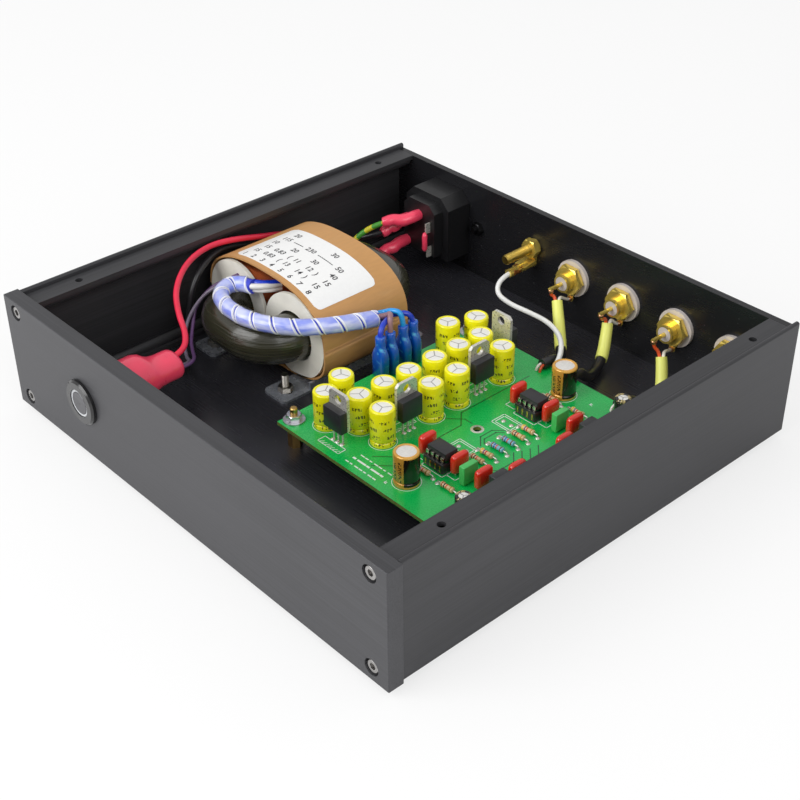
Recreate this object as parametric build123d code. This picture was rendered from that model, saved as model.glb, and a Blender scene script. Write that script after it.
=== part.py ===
from build123d import *
import os
from math import radians, sqrt, tan

# A phono preamp with its lid off. All sizes are in millimetres. The pieces are drawn from the corner of
# the case: X from the left end of the front panel, Y from its front face to the rear, and Z from the
# underside of the case. save() then moves the origin to the middle of the space under the feet.

# ---------------------------------------------------------------- case, as wide as what stands in it
BOARD_X = 100.2
BOARD_WIDTH = 112.0
BOARD_SIDE_GAP = 13.8
BODY_WIDTH = BOARD_X + BOARD_WIDTH + BOARD_SIDE_GAP
BODY_DEPTH = 210.0
BODY_HEIGHT = 50.0
FRONT_THICKNESS = 6.6
REAR_THICKNESS = 3.0
BOTTOM_THICKNESS = 2.5
SIDE_INSET = 1.0
SIDE_WALL = 2.0
LID_RECESS = 2.0
FLANGE_THICKNESS = 2.0
FLANGE_WIDTH = 9.5
CHANNEL_RADIUS = 2.7
CHANNEL_OFFSET = 5.2
CHANNEL_COVER = 0.5
CHANNEL_SLOT = 1.4
LID_SCREW_OFFSET = 4.6
LID_SCREW_MARGIN = 20.0
BASE_SCREW_MARGIN = 12.0
PANEL_GAP = 0.1
PANEL_EDGE = 0.4
RIDGE_ROUND = 0.9
FOOT_RADIUS = 6.5
FOOT_HEIGHT = 3.0
FOOT_INSET = 24.0

# ---------------------------------------------------------------- screws and general fits
FIT = 0.05
SCREW_RADIUS = 1.5
CAP_HEAD_RADIUS = 2.75
CAP_HEAD_HEIGHT = 3.0
COUNTERBORE_DEPTH = 3.5
COUNTERBORE_RADIUS = 3.3
FLAT_HEAD_RADIUS = 2.8
FLAT_HEAD_HEIGHT = 1.6
HEX_KEY = 2.0
PANEL_SCREW_LENGTH = 10.0
BASE_SCREW_LENGTH = 6.0
NUT_FLATS = 5.5
NUT_HEIGHT = 2.4

# ---------------------------------------------------------------- power button
BUTTON_X = 52.5
BUTTON_Z = 25.2
BEZEL_RADIUS = 9.3
BEZEL_PROUD = 2.0
BEZEL_CHAMFER = 0.8
BARREL_RADIUS = 8.0
BARREL_LENGTH = 17.0
SWITCH_RADIUS = 6.0
SWITCH_LENGTH = 6.0
RING_OUTER = 5.7
RING_WIDTH = 0.95
RING_DEPTH = 2.2
RING_RECESS = 0.2
CAP_FLANGE = 0.5
CAP_FLANGE_DEPTH = 1.5
BUTTON_TRAVEL = 2.5
BUTTON_NUT_FLATS = 19.0
BUTTON_NUT_HEIGHT = 3.0
BOOT_WALL = 1.0
BOOT_LENGTH = 33.0
BOOT_OVAL = 0.01

# ---------------------------------------------------------------- mains inlet and its fuse drawer
INLET_X = 37.0
INLET_Z = 27.0
INLET_FACE_WIDTH = 30.0
INLET_FACE_HEIGHT = 33.0
INLET_FACE_THICKNESS = 3.0
INLET_EAR_LENGTH = 50.0
INLET_EAR_HEIGHT = 11.0
INLET_SCREW_SPACING = 40.0
INLET_BODY_WIDTH = 27.6
INLET_BODY_HEIGHT = 30.6
INLET_BODY_DEPTH = 13.5
INLET_STEP_WIDTH = 20.0
INLET_STEP_HEIGHT = 25.0
INLET_STEP_DEPTH = 5.0
INLET_CHAMFER = 5.0
SOCKET_RISE = 4.0
SOCKET_WIDTH = 24.4
SOCKET_HEIGHT = 16.6
SOCKET_CHAMFER = 4.2
SOCKET_DEPTH = 16.0
PIN_PITCH = 14.0
EARTH_RISE = 4.0
PIN_THICKNESS = 2.0
PIN_WIDTH = 4.0
PIN_RECESS = 1.5
TERMINAL_WIDTH = 4.8
TERMINAL_THICKNESS = 0.8
TERMINAL_REACH = 2.6
DRAWER_DROP = 9.6
DRAWER_WIDTH = 24.0
DRAWER_HEIGHT = 7.0
DRAWER_DEPTH = 13.0
DRAWER_FACE = 1.6
DRAWER_LIP = 0.7
FUSE_RADIUS = 2.6
FUSE_LENGTH = 20.0
FUSE_CONTACT_PITCH = 15.8
SLEEVE_RADIUS = 2.9
SLEEVE_BORE = 2.5

# ---------------------------------------------------------------- phono jacks
JACK_SIDE_GAP = 26.0
JACK_PITCH = 28.1
JACK_COUNT = 4
JACK_Z = 25.5
JACK_WASHER_RADIUS = 8.3
JACK_WASHER_THICKNESS = 1.6
JACK_SHOULDER_RADIUS = 5.2
JACK_THREAD_RADIUS = 4.0
JACK_BORE_RADIUS = 3.2
JACK_INNER_LENGTH = 8.5
JACK_FLANGE_RADIUS = 5.8
JACK_FLANGE_THICKNESS = 1.4
JACK_BARREL_RADIUS = 4.15
JACK_BARREL_LENGTH = 8.5
JACK_CONTACT_RADIUS = 1.95
JACK_CONTACT_BORE = 1.65
JACK_CONTACT_DEPTH = 9.0
JACK_PIN_RADIUS = 0.9
JACK_PIN_REACH = 7.2
JACK_NUT_FLATS = 12.5
JACK_NUT_HEIGHT = 2.8
TAG_THICKNESS = 0.5
TAG_RADIUS = 6.0
TAG_WIDTH = 3.0
TAG_DROP = 9.6

# ---------------------------------------------------------------- ground post
POST_JACK_GAP = 24.2
POST_Z = 31.0
POST_RADIUS = 2.2
POST_REACH = 15.0
POST_INNER_LENGTH = 18.4
POST_COLLAR_RADIUS = 4.6
POST_COLLAR_THICKNESS = 1.2
POST_NUT_FLATS = 8.0
POST_NUT_HEIGHT = 3.0
THUMB_WASHER_RADIUS = 4.8
THUMB_WASHER_THICKNESS = 0.8
THUMB_NUT_RADIUS = 5.0
THUMB_NUT_HEIGHT = 6.0
THUMB_NUT_GROOVES = 18
THUMB_GROOVE_RADIUS = 0.45
LUG_THICKNESS = 0.8
LUG_RADIUS = 3.9
LUG_WIDTH = 3.6
LUG_DROP = 7.5
LUG_BARREL_RADIUS = 1.9
LUG_BARREL_LENGTH = 16.0

# ---------------------------------------------------------------- transformer
TRANSFORMER_X = 48.6
TRANSFORMER_Y = 113.0
BRACKET_THICKNESS = 1.2
BRACKET_WIDTH = 14.0
BRACKET_LENGTH = 78.0
BRACKET_OFFSET = 24.3
BRACKET_CORNER = 2.5
BRACKET_LIP_CLEARANCE = 0.3
BRACKET_LIP_LENGTH = 50.0
BOLT_MARGIN = 6.5
BOLT_SLOT = 7.0
BOLT_HEIGHT = 11.5
DISC_RADIUS = 18.7
DISC_GAP = 0.5
DISC_THICKNESS = 1.6
WRAP_THICKNESS = 0.8
WRAP_LENGTH = 45.0
WRAP_RISE = 22.4
WRAP_CLEARANCE = 0.05
CORE_RADIUS = 10.0
CORE_LENGTH = 93.0
CORE_BEND = 14.5
CORE_CLEARANCE = 1.0
TUBE_WALL = 0.9
WINDING_RADIUS = 17.6

# ---------------------------------------------------------------- circuit board
BOARD_REAR_GAP = 46.1
BOARD_DEPTH = 105.6
BOARD_THICKNESS = 1.6
STANDOFF_HEIGHT = 10.0
STANDOFF_FLATS = 5.0
BOARD_HOLE_RADIUS = 1.6
BOARD_HOLE_MARGIN_X = 3.7
BOARD_HOLE_MARGIN_Y = 5.4
STUD_HEIGHT = 5.9
BOARD_WASHER_RADIUS = 4.4
BOARD_WASHER_THICKNESS = 0.6

FILTER_CAP_RADIUS = 5.0
FILTER_CAP_HEIGHT = 16.0
# Distances of the filter capacitors from the left edge and from the board's middle line.
FILTER_CAP_PAIRS = ((10.0, 28.4), (14.6, 40.1), (25.0, 32.2), (25.0, 19.8), (25.0, 6.9), (37.6, 31.8),
                    (37.6, 6.9))
COUPLING_CAP_RADIUS = 5.0
COUPLING_CAP_HEIGHT = 14.0
COUPLING_CAPS = ((62.0, 10.8), (62.3, 94.2))
SMALL_CAP_RADIUS = 3.2
SMALL_CAP_HEIGHT = 12.0
SMALL_CAPS = ((92.5, 9.7), (90.5, 96.0))
CAP_GROOVE = 0.45
CAP_GROOVE_HEIGHT = 2.2

REGULATOR_WIDTH = 10.2
REGULATOR_BODY_HEIGHT = 9.2
REGULATOR_BODY_THICKNESS = 3.2
REGULATOR_TAB_THICKNESS = 1.3
REGULATOR_TAB_HEIGHT = 6.4
REGULATOR_TAB_HOLE = 1.9
REGULATOR_LEG = 6.4
LEG_PITCH = 2.54
LEG_WIDTH = 0.8
LEG_THICKNESS = 0.5
# Place on the board and turn of each regulator. At no turn the plastic side looks to the front.
REGULATORS = ((26.0, 9.3, 0.0), (37.9, 33.2, 90.0), (37.8, 71.8, 90.0), (27.6, 95.2, 180.0))

CHIP_LENGTH = 9.6
CHIP_WIDTH = 6.4
CHIP_HEIGHT = 3.3
SOCKET_STRIP_LENGTH = 10.2
SOCKET_STRIP_WIDTH = 10.0
SOCKET_STRIP_HEIGHT = 4.6
SOCKET_WINDOW = 5.0
CHIP_LIFT = 0.6
CHIPS = ((63.3, 27.5), (63.3, 76.1))

FILM_THICKNESS = 3.5
FILM_LENGTH = 8.0
FILM_HEIGHT = 8.0
FILM_LIFT = 1.0
RED_CAPS = ((54.0, 28.7), (71.0, 28.7), (83.4, 28.7), (54.0, 77.2), (71.0, 77.2), (83.4, 77.2),
            (89.0, 40.2), (89.0, 65.2))
BOX_CAP_THICKNESS = 2.7
BOX_CAP_LENGTH = 7.2
BOX_CAP_HEIGHT = 7.5
GREEN_CAPS = ((77.4, 27.0), (77.4, 75.7))
BLACK_CAP_LENGTH = 7.2
BLACK_CAP_THICKNESS = 3.4
BLACK_CAP_HEIGHT = 8.0
BLACK_CAPS = ((89.3, 30.5), (89.5, 77.9))

RESISTOR_RADIUS = 1.15
RESISTOR_WAIST = 0.9
RESISTOR_LENGTH = 6.3
RESISTOR_SPAN = 10.2
RESISTOR_LEAD = 0.3
# Middle of each resistor and whether it lies along the board's depth.
RESISTORS = ((70.6, 38.4, False), (70.6, 43.3, False), (70.6, 48.9, False), (70.6, 54.8, False),
             (70.6, 60.2, False), (70.6, 65.4, False), (62.2, 19.0, False), (75.4, 18.4, False),
             (75.4, 88.0, False), (62.2, 87.6, False), (95.2, 29.0, True), (95.2, 76.0, True))

CONNECTOR_WIDTH = 7.6
CONNECTOR_DEPTH = 4.4
CONNECTOR_HEIGHT = 13.6
CONNECTOR_NECK_RADIUS = 2.1
CONNECTOR_NECK_HEIGHT = 4.8
CONNECTOR_LIFT = 0.3
CONNECTORS = ((3.4, 50.4), (3.4, 55.8), (3.2, 62.8), (3.2, 68.2))
BOARD_TAB_WIDTH = 6.3
BOARD_TAB_THICKNESS = 0.8
BOARD_TAB_HEIGHT = 8.0

# ---------------------------------------------------------------- wires: radii and the points they follow
MAINS_WIRE_RADIUS = 1.25
PRIMARY_WIRE_RADIUS = 0.75
BUNDLE_RADIUS = 3.5
CABLE_RADIUS = 2.2
GROUND_WIRE_RADIUS = 1.1
LEAD_RADIUS = 0.7
OUTPUT_LEAD_RADIUS = 1.1
YELLOW_SLEEVE_RADIUS = 2.7
BOARD_LEAD_RADIUS = 0.55
TERMINAL_STRAIGHT = 3.4
LEAD_STRAIGHT = 2.0
LUG_STRAIGHT = 4.6
SIDE_RUN_START = 80.0

CORD_BEND_SHARE = 0.45

# ---------------------------------------------------------------- places worked out from the sizes
INNER_WALL = SIDE_INSET + SIDE_WALL
LID_SEAT = BODY_HEIGHT - LID_RECESS
REAR_INNER = BODY_DEPTH - REAR_THICKNESS
CHANNEL_X = INNER_WALL + CHANNEL_OFFSET
CHANNEL_TOP = LID_SEAT - CHANNEL_COVER - CHANNEL_RADIUS
CHANNEL_BOTTOM = BOTTOM_THICKNESS + CHANNEL_COVER + CHANNEL_RADIUS
PANEL_SCREWS = [(x, z) for x in (CHANNEL_X, BODY_WIDTH - CHANNEL_X) for z in (CHANNEL_BOTTOM, CHANNEL_TOP)]
LID_SCREW_X = INNER_WALL + LID_SCREW_OFFSET
LID_SCREW_YS = (FRONT_THICKNESS + LID_SCREW_MARGIN + REAR_THICKNESS, BODY_DEPTH - LID_SCREW_MARGIN)
LID_SCREWS = [(x, y) for x in (LID_SCREW_X, BODY_WIDTH - LID_SCREW_X) for y in LID_SCREW_YS]
BASE_SCREW_YS = (FRONT_THICKNESS + BASE_SCREW_MARGIN, (FRONT_THICKNESS + REAR_INNER) / 2,
                 REAR_INNER - BASE_SCREW_MARGIN)
BASE_SCREWS = [(x, y) for x in (LID_SCREW_X, BODY_WIDTH - LID_SCREW_X) for y in BASE_SCREW_YS]
INLET_SCREWS = [(INLET_X + side * INLET_SCREW_SPACING / 2, INLET_Z) for side in (-1, 1)]
JACK_XS = [BODY_WIDTH - JACK_SIDE_GAP - i * JACK_PITCH for i in reversed(range(JACK_COUNT))]
POST_X = JACK_XS[0] - POST_JACK_GAP
TAG_Y = REAR_INNER - JACK_WASHER_THICKNESS - TAG_THICKNESS
JACK_FLANGE_Y = BODY_DEPTH + JACK_WASHER_THICKNESS
COLLAR_Y = BODY_DEPTH + POST_COLLAR_THICKNESS
BOARD_Y = REAR_INNER - BOARD_REAR_GAP - BOARD_DEPTH
BOARD_UNDERSIDE = BOTTOM_THICKNESS + STANDOFF_HEIGHT
BOARD_TOP = BOARD_UNDERSIDE + BOARD_THICKNESS
BOARD_MIDDLE = BOARD_DEPTH / 2
BOARD_HOLES = [(x, y) for x in (BOARD_HOLE_MARGIN_X, BOARD_WIDTH - BOARD_HOLE_MARGIN_X)
               for y in (BOARD_HOLE_MARGIN_Y, BOARD_DEPTH - BOARD_HOLE_MARGIN_Y)]
BRACKET_TOP = BOTTOM_THICKNESS + BRACKET_THICKNESS
BOBBIN_OFFSET = DISC_RADIUS + DISC_GAP / 2
BOBBIN_Z = BRACKET_TOP + WRAP_THICKNESS + WRAP_CLEARANCE + DISC_RADIUS
BOBBIN_XS = (TRANSFORMER_X - BOBBIN_OFFSET, TRANSFORMER_X + BOBBIN_OFFSET)
BRACKET_XS = (TRANSFORMER_X - BRACKET_OFFSET, TRANSFORMER_X + BRACKET_OFFSET)
BOLT_REACH = BRACKET_LENGTH / 2 - BOLT_MARGIN
BRACKET_BOLTS = [(x, TRANSFORMER_Y + side * BOLT_REACH) for x in BRACKET_XS for side in (-1, 1)]
OBJECT_DEPTH = BEZEL_PROUD + BODY_DEPTH + POST_REACH


# ---------------------------------------------------------------- where the wires start and lead to
SWITCH_BACK = BARREL_LENGTH + SWITCH_LENGTH
INLET_FACE = BODY_DEPTH + INLET_FACE_THICKNESS
INLET_BACK = REAR_INNER - INLET_BODY_DEPTH
INLET_END = INLET_BACK - INLET_STEP_DEPTH
SOCKET_Z = INLET_Z + SOCKET_RISE
DRAWER_Z = INLET_Z - DRAWER_DROP
PINS = ((-PIN_PITCH / 2, -EARTH_RISE / 2), (PIN_PITCH / 2, -EARTH_RISE / 2), (0, EARTH_RISE / 2))
TERMINAL_END = INLET_END - TERMINAL_REACH
WRAP_FRONT = TRANSFORMER_Y - WRAP_LENGTH / 2
WRAP_REAR = TRANSFORMER_Y + WRAP_LENGTH / 2
LUG_TAIL_Z = POST_Z - LUG_DROP
LUG_FRONT = REAR_INNER - LUG_BARREL_LENGTH
CABLE_END_Z = BOARD_TOP + CABLE_RADIUS + 2 * FIT


def terminal_run(x, z):
    """The end of a wire on a terminal of the inlet, and the corner where it leaves the terminal's line."""
    return [(x, TERMINAL_END, z), (x, TERMINAL_END - TERMINAL_STRAIGHT, z)]


def toward_terminals(start, x, share, z):
    """A point on a wire's way back along the case, at a share of the run from start to the terminals."""
    return (x, start + share * (TERMINAL_END - start), z)


def beside(x, *steps):
    """Points given from a place on the rear panel: across from x, forward of the panel, and height."""
    return [(x + across, REAR_INNER - forward, z) for across, forward, z in steps]


def to_board(*steps):
    """Points given from the left front corner of the board, and height."""
    return [(BOARD_X + across, BOARD_Y + back, z) for across, back, z in steps]


NEUTRAL_TERMINAL = terminal_run(INLET_X + PINS[0][0], SOCKET_Z + PINS[0][1])
EARTH_TERMINAL = terminal_run(INLET_X + PINS[2][0], SOCKET_Z + PINS[2][1])
LIVE_TERMINAL = terminal_run(INLET_X - FUSE_CONTACT_PITCH / 2, DRAWER_Z)
EARTH_LUG_END = TRANSFORMER_Y + 34.4

LIVE_SIDE_RUN = [toward_terminals(SIDE_RUN_START, *place) for place in (
    (14.6, 0.0793, 45.0), (15.6, 0.204, 43.6), (12.2, 0.3588, 37.6), (8.2, 0.5099, 32.0),
    (12.0, 0.661, 24.0), (20.0, 0.7743, 16.6), (28.2, 0.8687, 14.6))]
LIVE_WIRE_ROUTE = [
    (52.2, SWITCH_BACK, 26.2), (52.2, 35.0, 26.2), (52.0, 47.4, 27.4), (46.6, 52.4, 31.0),
    (37.6, 55.4, 34.6), (26.5, 62.0, 39.4), (17.6, 74.6, 43.4), *LIVE_SIDE_RUN, *reversed(LIVE_TERMINAL)]
NEUTRAL_SIDE_RUN = [toward_terminals(SIDE_RUN_START, *place) for place in (
    (17.4, 0.0094, 37.6), (13.0, 0.1228, 40.2), (8.4, 0.2644, 35.6), (6.4, 0.4344, 27.6),
    (6.8, 0.6043, 21.0), (10.6, 0.7328, 19.4), (19.4, 0.8215, 21.6), (28.2, 0.8839, 25.2))]
NEUTRAL_WIRE_ROUTE = [
    (49.4, SWITCH_BACK, 23.0), (49.4, 35.0, 23.0), (48.6, 46.4, 20.6), (45.6, 50.6, 15.4),
    (41.8, 54.0, 9.6), (34.4, 58.0, 5.6), (25.0, 63.0, 5.6), (19.6, 69.6, 12.0), (19.4, 72.6, 21.6),
    (19.2, 74.6, 31.0), *NEUTRAL_SIDE_RUN, *reversed(NEUTRAL_TERMINAL)]
EARTH_SIDE_RUN = [toward_terminals(EARTH_LUG_END, *place) for place in (
    (29.6, 0.6545, 31.8), (24.0, 0.4312, 27.0), (21.0, 0.2494, 19.0), (20.5, 0.1065, 11.0))]
EARTH_WIRE_ROUTE = [*EARTH_TERMINAL, *EARTH_SIDE_RUN, (18.6, EARTH_LUG_END, 5.6)]
PURPLE_WIRE_ROUTE = [
    (31.2, WRAP_FRONT, 36.8), (31.2, 86.6, 36.8), (27.0, 79.4, 33.6), (22.9, 73.4, 25.4),
    (26.0, 69.4, 19.6), (33.4, 62.6, 16.4), (43.0, 57.0, 18.4), (51.2, 52.4, 21.0), (54.2, 46.8, 21.6),
    (54.6, 35.0, 23.0), (54.6, SWITCH_BACK, 23.0)]
GREY_WIRE_ROUTE = [
    (33.8, WRAP_FRONT, 36.0), (33.8, 86.4, 36.0), (28.6, 76.4, 34.2), (23.8, 68.8, 22.4),
    (26.4, 63.6, 13.4), (35.2, 58.6, 11.2), (42.4, 55.4, 15.0), (48.4, 51.2, 18.6), (51.4, 46.6, 20.6),
    (52.0, 35.0, 22.2), (52.0, SWITCH_BACK, 22.2)]
BUNDLE_ROUTE = [
    (46.8, 87.0, 39.0), (40.6, 86.2, 38.2), (36.8, 82.4, 37.8), (37.4, 77.2, 37.2), (42.4, 73.2, 37.0),
    (50.0, 70.8, 37.0), (61.0, 70.6, 37.0), (73.0, 75.0, 37.0),
    *to_board((-17.0, 27.3, 37.2), (-10.6, 37.3, 37.0), (-8.0, 47.3, 35.8), (-6.0, 56.7, 34.4))]
GROUND_WIRE_ROUTE = [
    (POST_X, LUG_FRONT + LUG_BARREL_LENGTH / 3, LUG_TAIL_Z), (POST_X, LUG_FRONT - LUG_STRAIGHT, LUG_TAIL_Z),
    *beside(POST_X, (1.1, 24.6, 17.8), (10.5, 25.6, 16.6), (22.1, 25.8, 17.6), (35.1, 27.6, 19.2),
            (46.5, 32.6, 19.4), (54.7, 41.0, 19.0), (59.9, 50.6, 18.6), (59.9, 50.6, BOARD_TOP))]
# Each signal cable from the top of its sleeve down to the floor and up to the rear edge of the board.
CABLE_ROUTES = [
    beside(JACK_XS[0], (2.7, 13.6, 20.4), (11.7, 20.4, 7.8), (18.9, 27.6, 5.2), (23.9, 35.4, 7.4),
           (26.9, 39.6, 12.4), (28.5, 43.4, CABLE_END_Z), (28.5, 50.2, CABLE_END_Z)),
    beside(JACK_XS[1], (-0.8, 9.0, 18.4), (2.6, 14.0, 8.2), (6.6, 22.4, 5.2), (9.8, 32.0, 6.4),
           (12.6, 38.6, 11.8), (14.2, 43.4, CABLE_END_Z), (14.2, 50.2, CABLE_END_Z)),
    beside(JACK_XS[2], (3.5, 13.4, 18.6), (8.7, 17.6, 8.6), (12.5, 24.6, 5.2), (13.5, 33.0, 6.4),
           (12.7, 38.6, 11.8), (11.9, 43.4, CABLE_END_Z), (11.9, 50.2, CABLE_END_Z)),
    beside(JACK_XS[3], (2.8, 13.4, 18.6), (6.6, 17.6, 8.6), (7.4, 25.0, 5.2), (6.0, 33.0, 6.4),
           (3.0, 38.6, 11.8), (0.4, 43.4, CABLE_END_Z), (0.4, 50.2, CABLE_END_Z)),
]


# ---------------------------------------------------------------- drawing helpers
def along_y(section, y0, y1):
    """A section drawn in X and Z, extruded from y0 to y1."""
    back = Plane((0, y1, 0), x_dir=(1, 0, 0), z_dir=(0, -1, 0))
    return extrude(back * section, y1 - y0)


def rod_y(x, z, radius, y0, y1):
    return along_y(Pos(x, z) * Circle(radius), y0, y1)


def post(x, y, z0, z1, radius):
    return Pos(x, y, z0) * extrude(Circle(radius), z1 - z0)


def block(x0, x1, y0, y1, z0, z1):
    return Pos((x0 + x1) / 2, (y0 + y1) / 2, (z0 + z1) / 2) * Box(x1 - x0, y1 - y0, z1 - z0)


def turned_y(outline, x, y, z):
    """An outline of (radius, y) points, turned about a line along Y."""
    return Pos(x, y, z) * revolve(make_face(Polyline(*outline, close=True)), Axis.Y)


def turned_z(outline, x, y, z):
    """An outline of (radius, z) points, turned about a vertical line."""
    return Pos(x, y, z) * revolve(make_face(Plane.XZ * Polyline(*outline, close=True)), Axis.Z)


def hexagon(flats):
    return RegularPolygon(flats / 2, 6, major_radius=False)


def rest_of(outer, cutters):
    for cutter in cutters:
        outer = outer - cutter
    return outer


def on_board(x, y, z=0.0):
    return Pos(BOARD_X + x, BOARD_Y + y, BOARD_TOP + z)


def corner_radii(route):
    """Bend radius at each inner point of a route: a share of the shorter run over tan of half the turn."""
    points = [Vector(*p) for p in route]
    radii = []
    for a, b, c in zip(points, points[1:], points[2:]):
        half_turn = (b - a).get_angle(c - b) / 2
        shorter = min((b - a).length, (c - b).length)
        radii.append(CORD_BEND_SHARE * shorter / tan(radians(half_turn)))
    return radii


def cord(name, route, radius, bore=0.0):
    """A wire or tube along straight runs joined by tangent arcs."""
    radii = corner_radii(route)
    path = FilletPolyline(*route, radius=radii)
    section = Circle(radius) if bore == 0 else Circle(radius) - Circle(bore)
    start = Plane(origin=path @ 0, z_dir=path % 0)
    tube = sweep(start * section, path=path)
    expected = section.area * path.length
    print(f"{name}: length {path.length:.1f}, least bend {min(radii):.1f}, "
          f"volume over section times length {tube.volume / expected:.4f}")
    return tube


def save(name, *solids):
    """Write the solids of one node, moved from the case corner to the object's own origin."""
    to_origin = Pos(-BODY_WIDTH / 2, BEZEL_PROUD - OBJECT_DEPTH / 2, FOOT_HEIGHT)
    pieces = [solid for shape in solids for solid in shape.solids()]
    moved = [to_origin * piece for piece in pieces]
    shape = moved[0] if len(moved) == 1 else Compound(children=moved)
    export_step(shape, f"parts/{name}.step")


# ---------------------------------------------------------------- screws
def cap_screw(length):
    """A socket head screw with its seat at zero and its shank along +Z."""
    head = Pos(0, 0, -CAP_HEAD_HEIGHT) * extrude(Circle(CAP_HEAD_RADIUS), CAP_HEAD_HEIGHT)
    head = chamfer(head.faces().sort_by(Axis.Z)[0].edges(), PANEL_EDGE)
    key = Pos(0, 0, -CAP_HEAD_HEIGHT) * extrude(hexagon(HEX_KEY + PANEL_EDGE), CAP_HEAD_HEIGHT / 2)
    return head - key + extrude(Circle(SCREW_RADIUS), length)


def flat_screw(length):
    """A countersunk screw with its flat face at zero and its shank along +Z."""
    outline = ((0, 0), (FLAT_HEAD_RADIUS, 0), (SCREW_RADIUS, FLAT_HEAD_HEIGHT), (SCREW_RADIUS, length),
               (0, length))
    key = extrude(hexagon(HEX_KEY), FLAT_HEAD_HEIGHT * 0.7)
    return turned_z(outline, 0, 0, 0) - key


def flat_screw_hole(length):
    """The hole for a countersunk screw, a fit wider than the screw all round."""
    head = FLAT_HEAD_RADIUS + FIT
    shank = SCREW_RADIUS + FIT
    outline = ((0, -FIT), (head, -FIT), (head, FIT), (shank, FIT + FLAT_HEAD_HEIGHT), (shank, length),
               (0, length))
    return turned_z(outline, 0, 0, 0)


def into_rear(x, z, shape):
    """Place a screw so that it goes in through the rear panel from outside."""
    return Pos(x, BODY_DEPTH, z) * Rot(90, 0, 0) * shape


def into_base(x, y, shape):
    """Place a screw so that it goes up through the bottom plate."""
    return Pos(x, y, 0) * shape


def front_screws():
    seat = COUNTERBORE_DEPTH
    length = PANEL_SCREW_LENGTH
    return [Pos(x, seat, z) * Rot(-90, 0, 0) * cap_screw(length) for x, z in PANEL_SCREWS]


def countersunk_screws():
    rear = [into_rear(x, z, flat_screw(PANEL_SCREW_LENGTH)) for x, z in PANEL_SCREWS]
    base = [into_base(x, y, flat_screw(BASE_SCREW_LENGTH)) for x, y in BASE_SCREWS]
    board = [into_base(BOARD_X + x, BOARD_Y + y, flat_screw(BASE_SCREW_LENGTH)) for x, y in BOARD_HOLES]
    face = Pos(0, INLET_FACE_THICKNESS, 0)
    inlet = [face * into_rear(x, z, flat_screw(PANEL_SCREW_LENGTH)) for x, z in INLET_SCREWS]
    inlet_nut = Rot(90, 0, 0) * nut(NUT_FLATS, NUT_HEIGHT, SCREW_RADIUS)
    nuts = [Pos(x, REAR_INNER, z) * inlet_nut for x, z in INLET_SCREWS]
    return rear + base + board + inlet + nuts


def nut(flats, height, thread):
    """A hexagon nut standing on zero, with its corners turned off on top."""
    corner = flats / sqrt(3)
    outline = ((0, 0), (corner, 0), (corner, height * 0.8), (flats / 2, height), (0, height))
    cone = turned_z(outline, 0, 0, 0)
    return (extrude(hexagon(flats), height) & cone) - extrude(Circle(thread + FIT), height)


# ---------------------------------------------------------------- case
def front_panel():
    blank = block(0, BODY_WIDTH, 0, FRONT_THICKNESS, 0, BODY_HEIGHT)
    blank = fillet(blank.edges(), PANEL_EDGE)
    cutters = [rod_y(BUTTON_X, BUTTON_Z, BARREL_RADIUS + FIT, 0, FRONT_THICKNESS)]
    for x, z in PANEL_SCREWS:
        cutters.append(rod_y(x, z, COUNTERBORE_RADIUS, 0, COUNTERBORE_DEPTH))
        cutters.append(rod_y(x, z, SCREW_RADIUS + FIT, 0, FRONT_THICKNESS))
    return rest_of(blank, cutters)


def side_section():
    """The left extrusion: an outer wall with two flanges inside it and a screw channel behind each."""
    wall = Pos(SIDE_INSET + SIDE_WALL / 2, BODY_HEIGHT / 2) * Rectangle(SIDE_WALL, BODY_HEIGHT)
    wall = fillet(wall.vertices(), min(RIDGE_ROUND, 0.45 * SIDE_WALL))
    section = wall
    slots = []
    for seat, centre, inward in ((LID_SEAT, CHANNEL_TOP, -1), (BOTTOM_THICKNESS, CHANNEL_BOTTOM, 1)):
        flange = Rectangle(FLANGE_WIDTH + SIDE_WALL / 2, FLANGE_THICKNESS)
        flange_x = INNER_WALL - SIDE_WALL / 2 + (FLANGE_WIDTH + SIDE_WALL / 2) / 2
        section += Pos(flange_x, seat + inward * FLANGE_THICKNESS / 2) * flange
        section += Pos(CHANNEL_X, centre) * Circle(CHANNEL_RADIUS)
        slots.append(Pos(CHANNEL_X, centre) * Circle(SCREW_RADIUS + FIT))
        mouth = Rectangle(CHANNEL_SLOT, 2 * CHANNEL_RADIUS)
        slots.append(Pos(CHANNEL_X, centre + inward * CHANNEL_RADIUS) * mouth)
    return rest_of(section, slots)


def left_side_panel():
    rail = along_y(side_section(), FRONT_THICKNESS, BODY_DEPTH)
    behind = block(INNER_WALL, INNER_WALL + 2 * FLANGE_WIDTH, REAR_INNER, BODY_DEPTH, 0, BODY_HEIGHT)
    cutters = [behind]
    for x, y in LID_SCREWS[:2]:
        cutters.append(post(x, y, CHANNEL_TOP - 2 * CHANNEL_RADIUS, BODY_HEIGHT, SCREW_RADIUS + FIT))
    for x, y in BASE_SCREWS[:3]:
        cutters.append(post(x, y, 0, BASE_SCREW_LENGTH + CHANNEL_RADIUS, SCREW_RADIUS + FIT))
    return rest_of(rail, cutters)


def right_side_panel():
    return mirror(left_side_panel(), Plane((BODY_WIDTH / 2, 0, 0), z_dir=(1, 0, 0)))


def bottom_plate():
    edge = INNER_WALL + PANEL_GAP
    plate = block(edge, BODY_WIDTH - edge, FRONT_THICKNESS, BODY_DEPTH, 0, BOTTOM_THICKNESS)
    cutters = [into_base(x, y, flat_screw_hole(BODY_HEIGHT)) for x, y in BASE_SCREWS + BRACKET_BOLTS]
    cutters += [into_base(BOARD_X + x, BOARD_Y + y, flat_screw_hole(BODY_HEIGHT)) for x, y in BOARD_HOLES]
    return rest_of(plate, cutters)


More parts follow.
